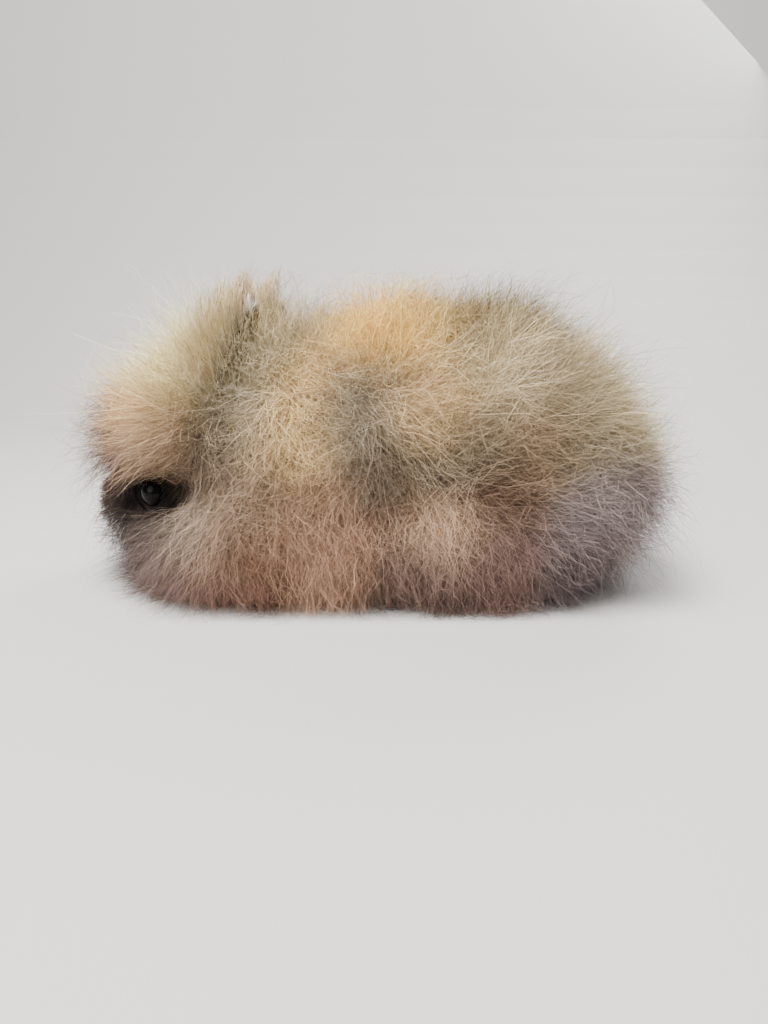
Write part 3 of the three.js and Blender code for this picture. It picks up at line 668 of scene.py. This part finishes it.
def combAt(roots, normals):
    at, reach, *ways = columns(combing)
    share = shares(roots, at, reach)
    lie, stand, length = (share @ column for column in ways)
    lie[:, 1] *= np.where(roots[:, 1] < 0, -1, 1)
    turn = turnShare(roots)[:, None]
    lie = lie * (1 - turn) + turnedWays(lie) * turn
    lie += swirl(roots) * drift["combing"]
    return unit(inTangent(lie, normals)), stand, length


# Painted shade about the eye: skin and short fur in this oval take the dark lid colour.
# Wool in front of the window is left out: an oval of the head seen from its side, which moves for
# wool that stands farther out than from
paintedShadeOval = {"centre": (-99, 22, 46.5), "radii": (22, 18, 10.5)}
eyeWindow = {
    "centre": (-100, 45.2),
    "radii": (17, 6.2),
    "powers": (3, 2.5),
    "tilt": 0.08,
    "sideways": 15,  # wool nearer the middle of the head stays
    "from": 25,
    "rearward": 0.5,
    "upward": 0.3,
}
# The band of the face beside it, which has short fur alone
faceBand = {"ahead": -80, "above": 38, "below": 57, "facing": 0.9}


def eyeGap(points):
    return np.linalg.norm(inHead(points) - eye["centre"], axis=1)


def eyeBeside(points):
    # the middle of the eye on each place's own side
    mirror = np.ones((len(points), 3))
    mirror[:, 1] = np.sign(turned(points, back=True)[:, 1])
    return turned(mirror * eye["centre"])


# How much painted shade about the eye falls on each place
def paintedShadeAt(points):
    off = (inHead(points) - paintedShadeOval["centre"]) / paintedShadeOval["radii"]
    return np.exp(-((off**2).sum(1) ** 2))[:, None]


def inFaceBand(points, normals):
    x, _, z = inHead(points).T
    level = (z > faceBand["above"]) & (z < faceBand["below"])
    return level & (x < faceBand["ahead"]) & (normals[:, 2] < faceBand["facing"])


def hidesEye(centres, raggedness):
    x, y, z = inHead(centres.reshape(-1, 3)).T
    out = np.maximum(y - eyeWindow["from"], 0)
    x = x - eyeWindow["rearward"] * out - eyeWindow["centre"][0]
    z = z - eyeWindow["upward"] * out - eyeWindow["centre"][1] - eyeWindow["tilt"] * x
    across, up = np.abs(x / eyeWindow["radii"][0]), np.abs(z / eyeWindow["radii"][1])
    nearness = across ** eyeWindow["powers"][0] + up ** eyeWindow["powers"][1]
    nearness[y <= eyeWindow["sideways"]] = np.inf
    return nearness.reshape(centres.shape[:2]).min(1) < raggedness


# The skin, in the colours of the coat over it, darkened like an undercoat
undercoat = {"colour": (84, 70, 58), "share": 0.75}
# over is how far out in the wool its colour is taken, as a share of the wool's length there
skinLook = {"over": 0.55, "coat": 0.45, "under": 0.3, "ear": 0.55, "roughness": 0.75}
noseLeather = {"centre": (-133, 0, 36), "radii": (3.5, 4, 4), "colour": (128, 92, 86)}


def colourSkin():
    over = bare + facing * (woolLength * skinLook["over"])[:, None]
    tint = tintAt(over) * skinLook["coat"] + linear(undercoat["colour"]) * skinLook["under"]
    off = (turned(bare, back=True) - noseLeather["centre"]) / noseLeather["radii"]
    leather = np.exp(-(off**2).sum(1))[:, None]
    tint = tint * (1 - leather) + linear(noseLeather["colour"]) * leather
    tint[onEar] = linear(earFur["gold"]) * skinLook["ear"]
    # Skin about the eye is painted with the lid colour as shade
    paintedShadeShare = paintedShadeAt(bare)
    paint(skin.data, tint * (1 - paintedShadeShare) + linear(lid["colour"]) * paintedShadeShare)
    skin.data.materials.append(tinted("skin", skinLook["roughness"]))


# Each hair is a flat tapered blade, its root on a small patch of the unwrapped skin
blade = {"roll": 0.7, "taper": (0.8, 1, 0.9, 0.62, 0.3), "patchWidth": 0.0024, "patchHeight": 0.0026}
globe = {"centre": (-6, 0, 52), "radii": (125, 62, 62), "margin": 0.02}
hairLook = tinted("hair", roughness=0.62)


def scatter(points, normals, corners, chance, count):
    # places on the skin, drawn by area and by chance
    a, b, c = (points[corners[:, k]] for k in range(3))
    odds = np.linalg.norm(np.cross(b - a, c - a), axis=1) * chance[corners].mean(1)
    chosen = draw.choice(len(corners), count, p=odds / odds.sum())
    u, v = np.sqrt(draw.random(count)), draw.random(count)
    mix = np.stack([1 - u, u * (1 - v), u * v], 1)[:, :, None]
    return (points[corners[chosen]] * mix).sum(1), unit((normals[corners[chosen]] * mix).sum(1))


def unwrapped(points):
    # the skin opened out like a globe with its poles at nose and rump
    shape = (points - globe["centre"]) / globe["radii"]
    lengthwise = np.arccos(np.clip(unit(shape)[:, 0], -1, 1)) / np.pi
    around = np.arctan2(shape[:, 1], shape[:, 2]) / (2 * np.pi) + 0.5
    return globe["margin"] + (1 - 2 * globe["margin"]) * np.stack([lengthwise, around], 1)


def bladeCorners(centres, outward, width):
    # two corners for each row but the last, which is the tip
    count, rows = centres.shape[:2]
    along = unit(np.gradient(centres, axis=1))
    side = unit(np.cross(along, outward[:, None]))
    flat = np.cross(side, along)
    roll = draw.normal(0, blade["roll"], count)[:, None, None]
    side = side * np.cos(roll) + flat * np.sin(roll)
    half = (width[:, None] * np.array(blade["taper"][: rows - 1]))[:, :, None] / 2
    left, right = centres[:, :-1] - side[:, :-1] * half, centres[:, :-1] + side[:, :-1] * half
    return np.concatenate([np.stack([left, right], 2).reshape(count, -1, 3), centres[:, -1:]], 1)


def ribbons(name, centres, outward, width, colours, places, slot):
    count, rows = centres.shape[:2]
    corners = bladeCorners(centres, outward, width)
    each = corners.shape[1]
    quads = [(2 * k, 2 * k + 1, 2 * k + 3, 2 * k + 2) for k in range(rows - 2)]
    pattern = np.array([i for quad in quads for i in quad] + [each - 3, each - 2, each - 1])
    loops = (np.arange(count)[:, None] * each + pattern).ravel()
    starts = (np.arange(count)[:, None] * len(pattern) + 4 * np.arange(rows - 1)).ravel()
    mesh = bpy.data.meshes.new(name)
    mesh.vertices.add(count * each)
    mesh.vertices.foreach_set("co", (corners * milli).astype(np.float32).ravel())
    mesh.loops.add(len(loops))
    mesh.loops.foreach_set("vertex_index", loops.astype(np.int32))
    mesh.polygons.add(len(starts))
    mesh.polygons.foreach_set("loop_start", starts.astype(np.int32))
    mesh.update(calc_edges=True)
    rowOf = np.concatenate([np.repeat(np.arange(rows - 1), 2), [rows - 1]])
    paint(mesh, colours[:, rowOf].reshape(-1, 3))
    left = np.tile([-0.5, 0.5], rows)[:each] * blade["patchWidth"]
    patch = np.stack([left, (rowOf / (rows - 1) - 0.5) * blade["patchHeight"]], 1)
    spots = (places[:, None] + patch).reshape(-1, 2)
    layer = mesh.uv_layers.new(name="OFBake")
    layer.data.foreach_set("uv", spots[loops].astype(np.float32).ravel())
    mesh.materials.append(hairLook)
    piece = linked(name, mesh)
    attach(piece, "root")


# How a hair runs from its root: rows lie closer toward the tip, it eases from standing to lying,
# and it curls with its tuft, curls by itself and kinks, in full from this length on
curl = {
    "bend": 0.65,
    "ease": 0.3,
    "fullLength": 30,
    "tuftWaves": 5,
    "tuftPush": 0.85,
    "ownWaves": 6,
    "ownPush": 0.5,
    "kinks": 0.5,
}
# Of what a hair reaches beyond these, only this share is left, so that the coat keeps its outline
outline = {"front": 139, "rear": 132, "side": 55, "top": 141, "share": 0.35}


def alongHair(rows):
    return (np.linspace(0, 1, rows) ** curl["bend"])[None, :, None]


def drawnIn(values, low, high):
    kept = np.clip(values, low, high)
    return kept + (values - kept) * outline["share"]


def keptIn(centres):
    centres[..., 0] = drawnIn(centres[..., 0], -outline["front"], outline["rear"])
    centres[..., 1] = drawnIn(centres[..., 1], -outline["side"], outline["side"])
    centres[..., 2] = drawnIn(centres[..., 2], 0, outline["top"])
    return centres


def curled(centres, s, groups, owner, waveCount, push, size):
    # curls of a random phase and push for each group of hairs
    phase = draw.uniform(0, 2 * np.pi, (groups, 1, 3))
    strength = draw.normal(0, push, (groups, 1, 3))
    return centres + np.sin(s * waveCount + phase[owner]) * strength[owner] * s * size


def hairRows(roots, normals, lie, stand, length, rows, frizz, droop, owner=None):
    s = alongHair(rows)
    heading = unit(normals * stand[:, None] + lie)
    reach = length[:, None, None]
    eased = curl["ease"] * s**2
    centres = roots[:, None] + heading[:, None] * (s - eased) * reach + lie[:, None] * eased * reach
    centres = centres + np.array([0, 0, -1.0]) * (droop * s**2) * reach
    count = len(roots)
    size = np.minimum(reach / curl["fullLength"], 1) * frizz
    if owner is not None:
        centres = curled(centres, s, owner[-1] + 1, owner, curl["tuftWaves"], curl["tuftPush"], size)
    centres = curled(centres, s, count, np.arange(count), curl["ownWaves"], curl["ownPush"], size)
    centres = centres + draw.normal(0, curl["kinks"], centres.shape) * s * size
    return centres - (centres[:, :1] - roots[:, None])


# The coat: tufts of hairs that share their root's lie
tufts = {
    "count": 11200,
    "hairs": 18,
    "spread": 2.125,  # of the roots about the tuft's middle
    "clump": 0.25,  # how far the tips draw together
    "clumping": 1.3,
    "width": 0.135,
    "widths": (0.7, 1.25),
    "frizz": 4.6,
    "droop": 0.1,
    "raised": 1.2,
    "stands": (0.8, 1.25),
    "tuftLengths": (0.85, 1.12),
    "lengths": (0.6, 1.05),
    "waviness": 0.15,
    "tuftWander": 0.32,
    "wander": 0.6,
    "rooted": 0.6,  # depth of the roots under the skin
    "ragged": (0.45, 1.25),
    "floorGap": (0.5, 1.5),
}
hairTone = {  # shades from root to tip, and how they differ from tuft to tuft and from hair to hair
    "depth": (1, 0.6, 0.35, 0.12, 0),
    "ownRoot": 0.4,
    "underRoot": 0.5,
    "tufts": 0.13,
    "hairs": 0.1,
    "bright": 1.2,
    "brightShare": 0.1,
    "dim": 0.62,
    "dimShare": 0.15,
    "limits": (0.4, 1.6),
    "tipRow": 3,  # where along the hair the markings are read
}
# Puffs of wool with valleys between them, weaker on the head. The valleys are shorter, and painted with shade
puffs = {
    "count": 230,
    "size": 11,
    "apart": 0.9,
    "valley": 5.5,
    "lower": 0.34,
    "valleyShade": 0.45,
    "uneven": 0.15,
    "toned": 0.14,
    "lessOnHead": 0.5,
}
strays = {"share": 0.06, "longer": 1.15, "wander": 0.5, "wider": 1.15, "paler": 1.1, "clumped": 0.2}
# Where tufts grow: clear of the floor, the ears and the eye, thicker in long wool and in the mane
growth = {
    "aboveFloor": 3,
    "underside": -0.3,
    "eyeRoom": 12,
    "usualLength": 32,
    "thicker": 1.7,
    "maneFrom": -50,
    "maneOver": 30,
    "maneThicker": 0.5,
}
# The coat's pieces from front to rear, each ending at an x of the animal. The head's edge leans
coatEnds = {"ruff": -46, "shoulder": -8, "flank": 28, "haunch": 62}
headEdge = {"x": -62, "lean": 0.1, "leanFrom": 50, "z": 20, "rise": 0.3, "riseFrom": -100}


def growthChance():
    clear = (bare[:, 2] > growth["aboveFloor"]) | (facing[:, 2] > growth["underside"])
    bald = onEar | onBand | (woolLength < shortFur["longest"]) | (eyeGap(bare) < growth["eyeRoom"])
    mane = np.clip((growth["maneFrom"] - bare[:, 0]) / growth["maneOver"], 0, 1)
    thick = (woolLength / growth["usualLength"]) ** growth["thicker"] * (1 + growth["maneThicker"] * mane)
    return (clear & ~bald) * thick


def puffAt(roots, centres):
    # which puff each root is in, how far out from its middle, and how near to a valley
    gaps = np.linalg.norm(roots[:, None] - centres, axis=2)
    order = np.argsort(gaps, axis=1)[:, :2]
    first, second = np.take_along_axis(gaps, order, 1).T
    valley = np.clip(1 - (second - first) / puffs["valley"], 0, 1)
    return order[:, 0], (roots - centres[order[:, 0]]) / puffs["size"], valley


def coatPieces(guides):
    # the piece each tuft belongs to, and whether it is on the left
    x, y, z = turned(guides, back=True).T
    rear = headEdge["x"] - headEdge["lean"] * (z - headEdge["leanFrom"])
    chin = headEdge["z"] + headEdge["rise"] * (x - headEdge["riseFrom"])
    isHead = (x < rear) & (z > chin)
    names = np.array([*coatEnds, "rump"])[np.digitize(guides[:, 0], list(coatEnds.values()))]
    return np.where(isHead, "head", names), np.where(isHead, y, guides[:, 1]) < 0


def makeCoat():
    chance = growthChance()
    guides, outward = scatter(bare, facing, triangles, chance, tufts["count"])
    tuftCount = len(guides)
    owner = np.repeat(np.arange(tuftCount), tufts["hairs"])
    count = len(owner)
    lie, stand, length = combAt(guides, outward)
    puffCentres, _ = scatter(bare, facing, triangles, chance, puffs["count"])
    puff, apart, valley = puffAt(guides, puffCentres)
    firm = 1 - puffs["lessOnHead"] * turnShare(guides)
    length *= draw.uniform(*tufts["tuftLengths"], tuftCount) * (1 + tufts["waviness"] * swirl(guides)[:, 0])
    length *= draw.normal(1, puffs["uneven"], puffs["count"])[puff] * (1 - puffs["lower"] * valley * firm)
    lie = lie + draw.normal(0, tufts["tuftWander"], lie.shape)
    lie = unit(lie + apart * (puffs["apart"] * firm)[:, None])
    stand = stand * tufts["raised"] * draw.uniform(*tufts["stands"], tuftCount)
    normals = outward[owner]
    offset = inTangent(draw.normal(0, tufts["spread"], (count, 3)), normals)
    stray = draw.random(count) < strays["share"]
    hairLength = length[owner] * draw.uniform(*tufts["lengths"], count) * np.where(stray, strays["longer"], 1)
    hairLie = lie[owner] + draw.normal(0, tufts["wander"], (count, 3))
    hairLie = hairLie + draw.normal(0, strays["wander"], (count, 3)) * stray[:, None]
    roots = guides[owner] + offset - normals * tufts["rooted"]
    rows = len(hairTone["depth"])
    centres = hairRows(
        roots, normals, hairLie, stand[owner], hairLength, rows, tufts["frizz"], tufts["droop"], owner
    )
    centres = keptIn(centres)
    clump = alongHair(rows) ** tufts["clumping"] * tufts["clump"]
    centres = centres - offset[:, None] * clump * np.where(stray, strays["clumped"], 1)[:, None, None]
    between = (centres[:, 1:] + centres[:, :-1]) / 2
    ragged = draw.uniform(*tufts["ragged"], count)
    clear = ~(hidesEye(centres[:, 1:], ragged) | hidesEye(between, ragged))
    low, lift = tufts["floorGap"]
    centres[..., 2] = np.maximum(centres[..., 2], low + draw.random(count)[:, None] * lift)

    # Painted shade in the valleys between puffs, on top of each puff's own tone
    shade = draw.normal(1, puffs["toned"], puffs["count"])[puff] * (1 - puffs["valleyShade"] * valley * firm)
    shade = (shade * draw.normal(1, hairTone["tufts"], tuftCount))[owner]
    shade = shade * draw.normal(1, hairTone["hairs"], count)
    bright = draw.random(count) < hairTone["brightShare"]
    dim = draw.random(count) < hairTone["dimShare"]
    shade *= np.where(bright, hairTone["bright"], 1) * np.where(dim, hairTone["dim"], 1)
    shade *= np.where(stray, strays["paler"], 1)
    tip = (tintAt(centres[:, hairTone["tipRow"]]) * np.clip(shade, *hairTone["limits"])[:, None])[:, None]
    depth = np.array(hairTone["depth"])[None, :, None] * undercoat["share"]
    base = tip * hairTone["ownRoot"] + linear(undercoat["colour"]) * hairTone["underRoot"]
    colours = np.clip(tip * (1 - depth) + base * depth, 0, 1)
    width = tufts["width"] * draw.uniform(*tufts["widths"], count) * np.where(stray, strays["wider"], 1)

    places = unwrapped(guides)[owner]
    pieceOf, isLeft = coatPieces(guides)
    for word in ("head", *coatEnds, "rump"):
        for sideName, mask in (("left", isLeft), ("right", ~isLeft)):
            some = (mask & (pieceOf == word))[owner] & clear
            name, slot = f"coat_{word}_{sideName}", "mane" if word in ("head", "ruff") else "coat"
            ribbons(name, centres[some], normals[some], width[some], colours[some], places[some], slot)
            print(name, int(some.sum()), "hairs")


# Short fur of the face and the feet. Round the eye it is very short and lies away from it
shortFur = {
    "count": 19000,
    "width": 0.2,
    "widths": (0.8, 1.2),
    "shortest": 2.4,
    "longest": 12,
    "lengths": (0.7, 1.1),
    "fade": 6,  # it ends where the wool is this much longer
    "eyeball": 9.2,
    "eyeFrom": 16,
    "eyeOver": 4,
    "eyeStand": 0.3,
    "rooted": 0.3,
    "frizz": 0.4,
    "droop": 0.02,
    "floorGap": 0.5,
    "tintOut": 3,
    "toned": 0.16,
    "toneLimits": (0.5, 1.5),
    "rootDark": (0.3, 0.2, 0.075, 0),
}
soles = {"below": 1.5, "facing": -0.5}  # skin on the floor, without fur


def makeShortFur():
    fur = shortFur
    chance = np.maximum(np.clip((fur["longest"] + fur["fade"] - woolLength) / fur["fade"], 0, 1), onBand)
    chance[onEar | (eyeGap(bare) < fur["eyeball"])] = 0
    chance[(bare[:, 2] < soles["below"]) & (facing[:, 2] < soles["facing"])] = 0
    roots, normals = scatter(bare, facing, triangles, chance, fur["count"])
    count = len(roots)
    lie, stand, length = combAt(roots, normals)
    length = np.clip(length, fur["shortest"], fur["longest"]) * draw.uniform(*fur["lengths"], count)
    near = np.clip((fur["eyeFrom"] - eyeGap(roots)) / fur["eyeOver"], 0, 1)
    away = unit(inTangent(roots - eyeBeside(roots), normals))
    lie = unit(lie * (1 - near)[:, None] + away * near[:, None])
    length = length * (1 - near) + fur["shortest"] * near
    stand = stand * (1 - near) + fur["eyeStand"] * near
    rows = len(fur["rootDark"])
    rooted = roots - normals * fur["rooted"]
    centres = keptIn(hairRows(rooted, normals, lie, stand, length, rows, fur["frizz"], fur["droop"]))
    centres[..., 2] = np.maximum(centres[..., 2], fur["floorGap"])
    # Short fur about the eye is painted with the lid colour as shade
    shadowNearEye = paintedShadeAt(roots)
    tip = tintAt(roots + normals * fur["tintOut"]) * (1 - shadowNearEye) + linear(lid["colour"]) * shadowNearEye
    tip = tip * np.clip(draw.normal(1, fur["toned"], count), *fur["toneLimits"])[:, None]
    colours = np.clip(tip[:, None] * (1 - np.array(fur["rootDark"])[None, :, None]), 0, 1)
    width = fur["width"] * draw.uniform(*fur["widths"], count)
    ribbons("fur_face_and_feet", centres, normals, width, colours, unwrapped(roots), "foot")


# Fur of the ears: short inside, long on the back, with a tuft at the tip and a white rim
earFur = {
    "count": 13000,
    "inner": 5,
    "outer": 20,
    "tuft": 17,
    "lengths": (0.4, 1.2),
    "width": 0.19,
    "widths": (0.8, 1.3),
    "rows": 4,
    "frizz": 2.2,
    "rooted": 0.3,
    "backward": 0.25,
    "flat": 0.8,
    "stand": (0.35, 0.4, 0.6),  # inside, more on the back, and more again below the tuft
    "toned": 0.15,
    "toneLimits": (0.5, 1.5),
    "rim": (244, 241, 236),
    "gold": (214, 194, 152),
    "silver": (172, 166, 158),
    # The ear's inner side is painted dark as shade
    "inside": (42, 34, 31),
}
# Where on the ear these lie: silver, rim and tuft end or begin at a share of its length and blend
# over the next, and the ear's inner side, painted dark as shade, goes by how far the skin faces the ear's
# opening
earZones = {"inside": (1.6, 0.3), "silver": (0.4, 0.3), "rim": (0.9, 0.06), "tuft": (0.6, 0.25)}
rimFacing = 0.6


def makeEarFur():
    roots, normals = scatter(bare, facing, triangles, onEar.astype(float), earFur["count"])
    count = len(roots)
    own, ownFacing = turned(roots, back=True), turnedWays(normals, back=True)
    lie, tones = np.zeros_like(roots), np.zeros((count, 3))
    outside, high = np.zeros(count), np.zeros(count)
    gold, silver, dark, white = (linear(earFur[key]) for key in ("gold", "silver", "inside", "rim"))
    (steep, least), (lowEnd, lowBlend) = earZones["inside"], earZones["silver"]
    (rimFrom, rimBlend), (tuftFrom, tuftBlend) = earZones["rim"], earZones["tuft"]
    for side in bothSides:
        base, along, front, length = earAxes(side)
        mine = own[:, 1] * side > 0
        height = (own - base) @ along / length
        openness = ownFacing @ front
        lie[mine] = unit(along - front * earFur["backward"])
        inside = np.clip(openness * steep + least, 0, 1)[:, None]
        low = np.clip((lowEnd - height) / lowBlend, 0, 1)[:, None]
        rim = np.clip((height - rimFrom) / rimBlend, 0, 1) * np.clip(openness + rimFacing, 0, 1)
        rim = rim[:, None]
        tone = gold * (1 - low) + silver * low
        # the ear's inner side takes the painted shade colour
        tone = tone * (1 - inside) + dark * inside
        tones[mine] = (tone * (1 - rim) + white * rim)[mine]
        outside[mine] = ((1 - inside) * (1 - rim))[mine, 0]
        high[mine] = np.clip((height - tuftFrom) / tuftBlend, 0, 1)[mine]
    lie = turnedWays(lie)
    lie = unit(lie - normals * (lie * normals).sum(1, keepdims=True) * earFur["flat"])
    outer = earFur["outer"] + (earFur["tuft"] - earFur["outer"]) * high
    length = (earFur["inner"] + (outer - earFur["inner"]) * outside) * draw.uniform(*earFur["lengths"], count)
    flat, onBack, belowTuft = earFur["stand"]
    stand = flat + onBack * outside + belowTuft * outside * (1 - high)
    rooted = roots - normals * earFur["rooted"]
    centres = hairRows(rooted, normals, lie, stand, length, earFur["rows"], earFur["frizz"], droop=0.0)
    tones = tones * np.clip(draw.normal(1, earFur["toned"], count), *earFur["toneLimits"])[:, None]
    colours = np.clip(np.repeat(tones[:, None], earFur["rows"], 1), 0, 1)
    width = earFur["width"] * draw.uniform(*earFur["widths"], count)
    ribbons("fur_ears", centres, normals, width, colours, unwrapped(roots), "ear")


# Whiskers in columns and rows: the first root and its way, and the step to the next of each
whiskers = {
    "whiskers": {
        "columns": 3,
        "rows": 3,
        "root": (-127, 10.2, 33.5),
        "nextColumn": (3.2, 0.6, 0),
        "nextRow": (0, 0, -3),
        "way": (-0.35, 1, 0.12),
        "turnColumn": (0.3, 0, 0),
        "turnRow": (0, 0, -0.16),
        "droop": 0.18,
        "length": 34,
    },
    "browWhiskers": {
        "columns": 3,
        "rows": 1,
        "root": (-104, 21.5, 55.5),
        "nextColumn": (-2, -0.6, -0.6),
        "nextRow": (0, 0, 0),
        "way": (-0.55, 0.75, -0.1),
        "turnColumn": (-0.2, 0, -0.25),
        "turnRow": (0, 0, 0),
        "droop": 0.35,
        "length": 17,
    },
}
bristle = {"width": 0.18, "colour": (232, 228, 220), "rows": 6, "lengths": (0.7, 1.1), "flatTo": (0, 0.4, 1)}


def stepped(first, perColumn, perRow, column, row):
    return np.array(first) + np.array(perColumn) * column + np.array(perRow) * row


def makeWhiskers(name):
    group = whiskers[name]
    roots, ways = [], []
    for side in bothSides:
        for column in range(group["columns"]):
            for row in range(group["rows"]):
                root = stepped(group["root"], group["nextColumn"], group["nextRow"], column, row)
                way = stepped(group["way"], group["turnColumn"], group["turnRow"], column, row)
                roots.append(onSide(root, side))
                ways.append(onSide(way, side))
    roots, ways = turned(np.array(roots)), turnedWays(np.array(ways))
    s = np.linspace(0, 1, bristle["rows"])[None, :, None]
    reach = (group["length"] * draw.uniform(*bristle["lengths"], len(roots)))[:, None, None]
    centres = roots[:, None] + unit(ways)[:, None] * s * reach
    centres = centres + np.array([0, 0, -1]) * (s**2 * reach * group["droop"])
    centres[..., 2] = np.maximum(centres[..., 2], offFloor)
    colours = np.broadcast_to(linear(bristle["colour"]), centres.shape)
    outward = unit(np.cross(ways, bristle["flatTo"]))
    width = np.full(len(roots), bristle["width"])
    ribbons(name, centres, outward, width, colours, unwrapped(roots), "mane")


makeFloor()
makeLight()
makeCamera()
print("stage ready")

skin = makeFlesh()
carveFace(skin.data)
bare, facing, triangles = readMesh(skin.data)
woolLength = combAt(bare, facing)[2]
onEar = earPlaces()
onBand = inFaceBand(bare, facing)
colourSkin()
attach(skin, "root")
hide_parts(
    "head", "neck", "torso", "tail", "ear_left", "ear_right",
    "foreleg_left", "foreleg_right", "hindleg_left", "hindleg_right",
)
print("skin with", len(triangles), "triangles")

makeEyes()
print("eyes ready")

makeCoat()
print("coat ready")

makeShortFur()
makeEarFur()
for name in whiskers:
    makeWhiskers(name)
print("fur of face, ears and feet ready")
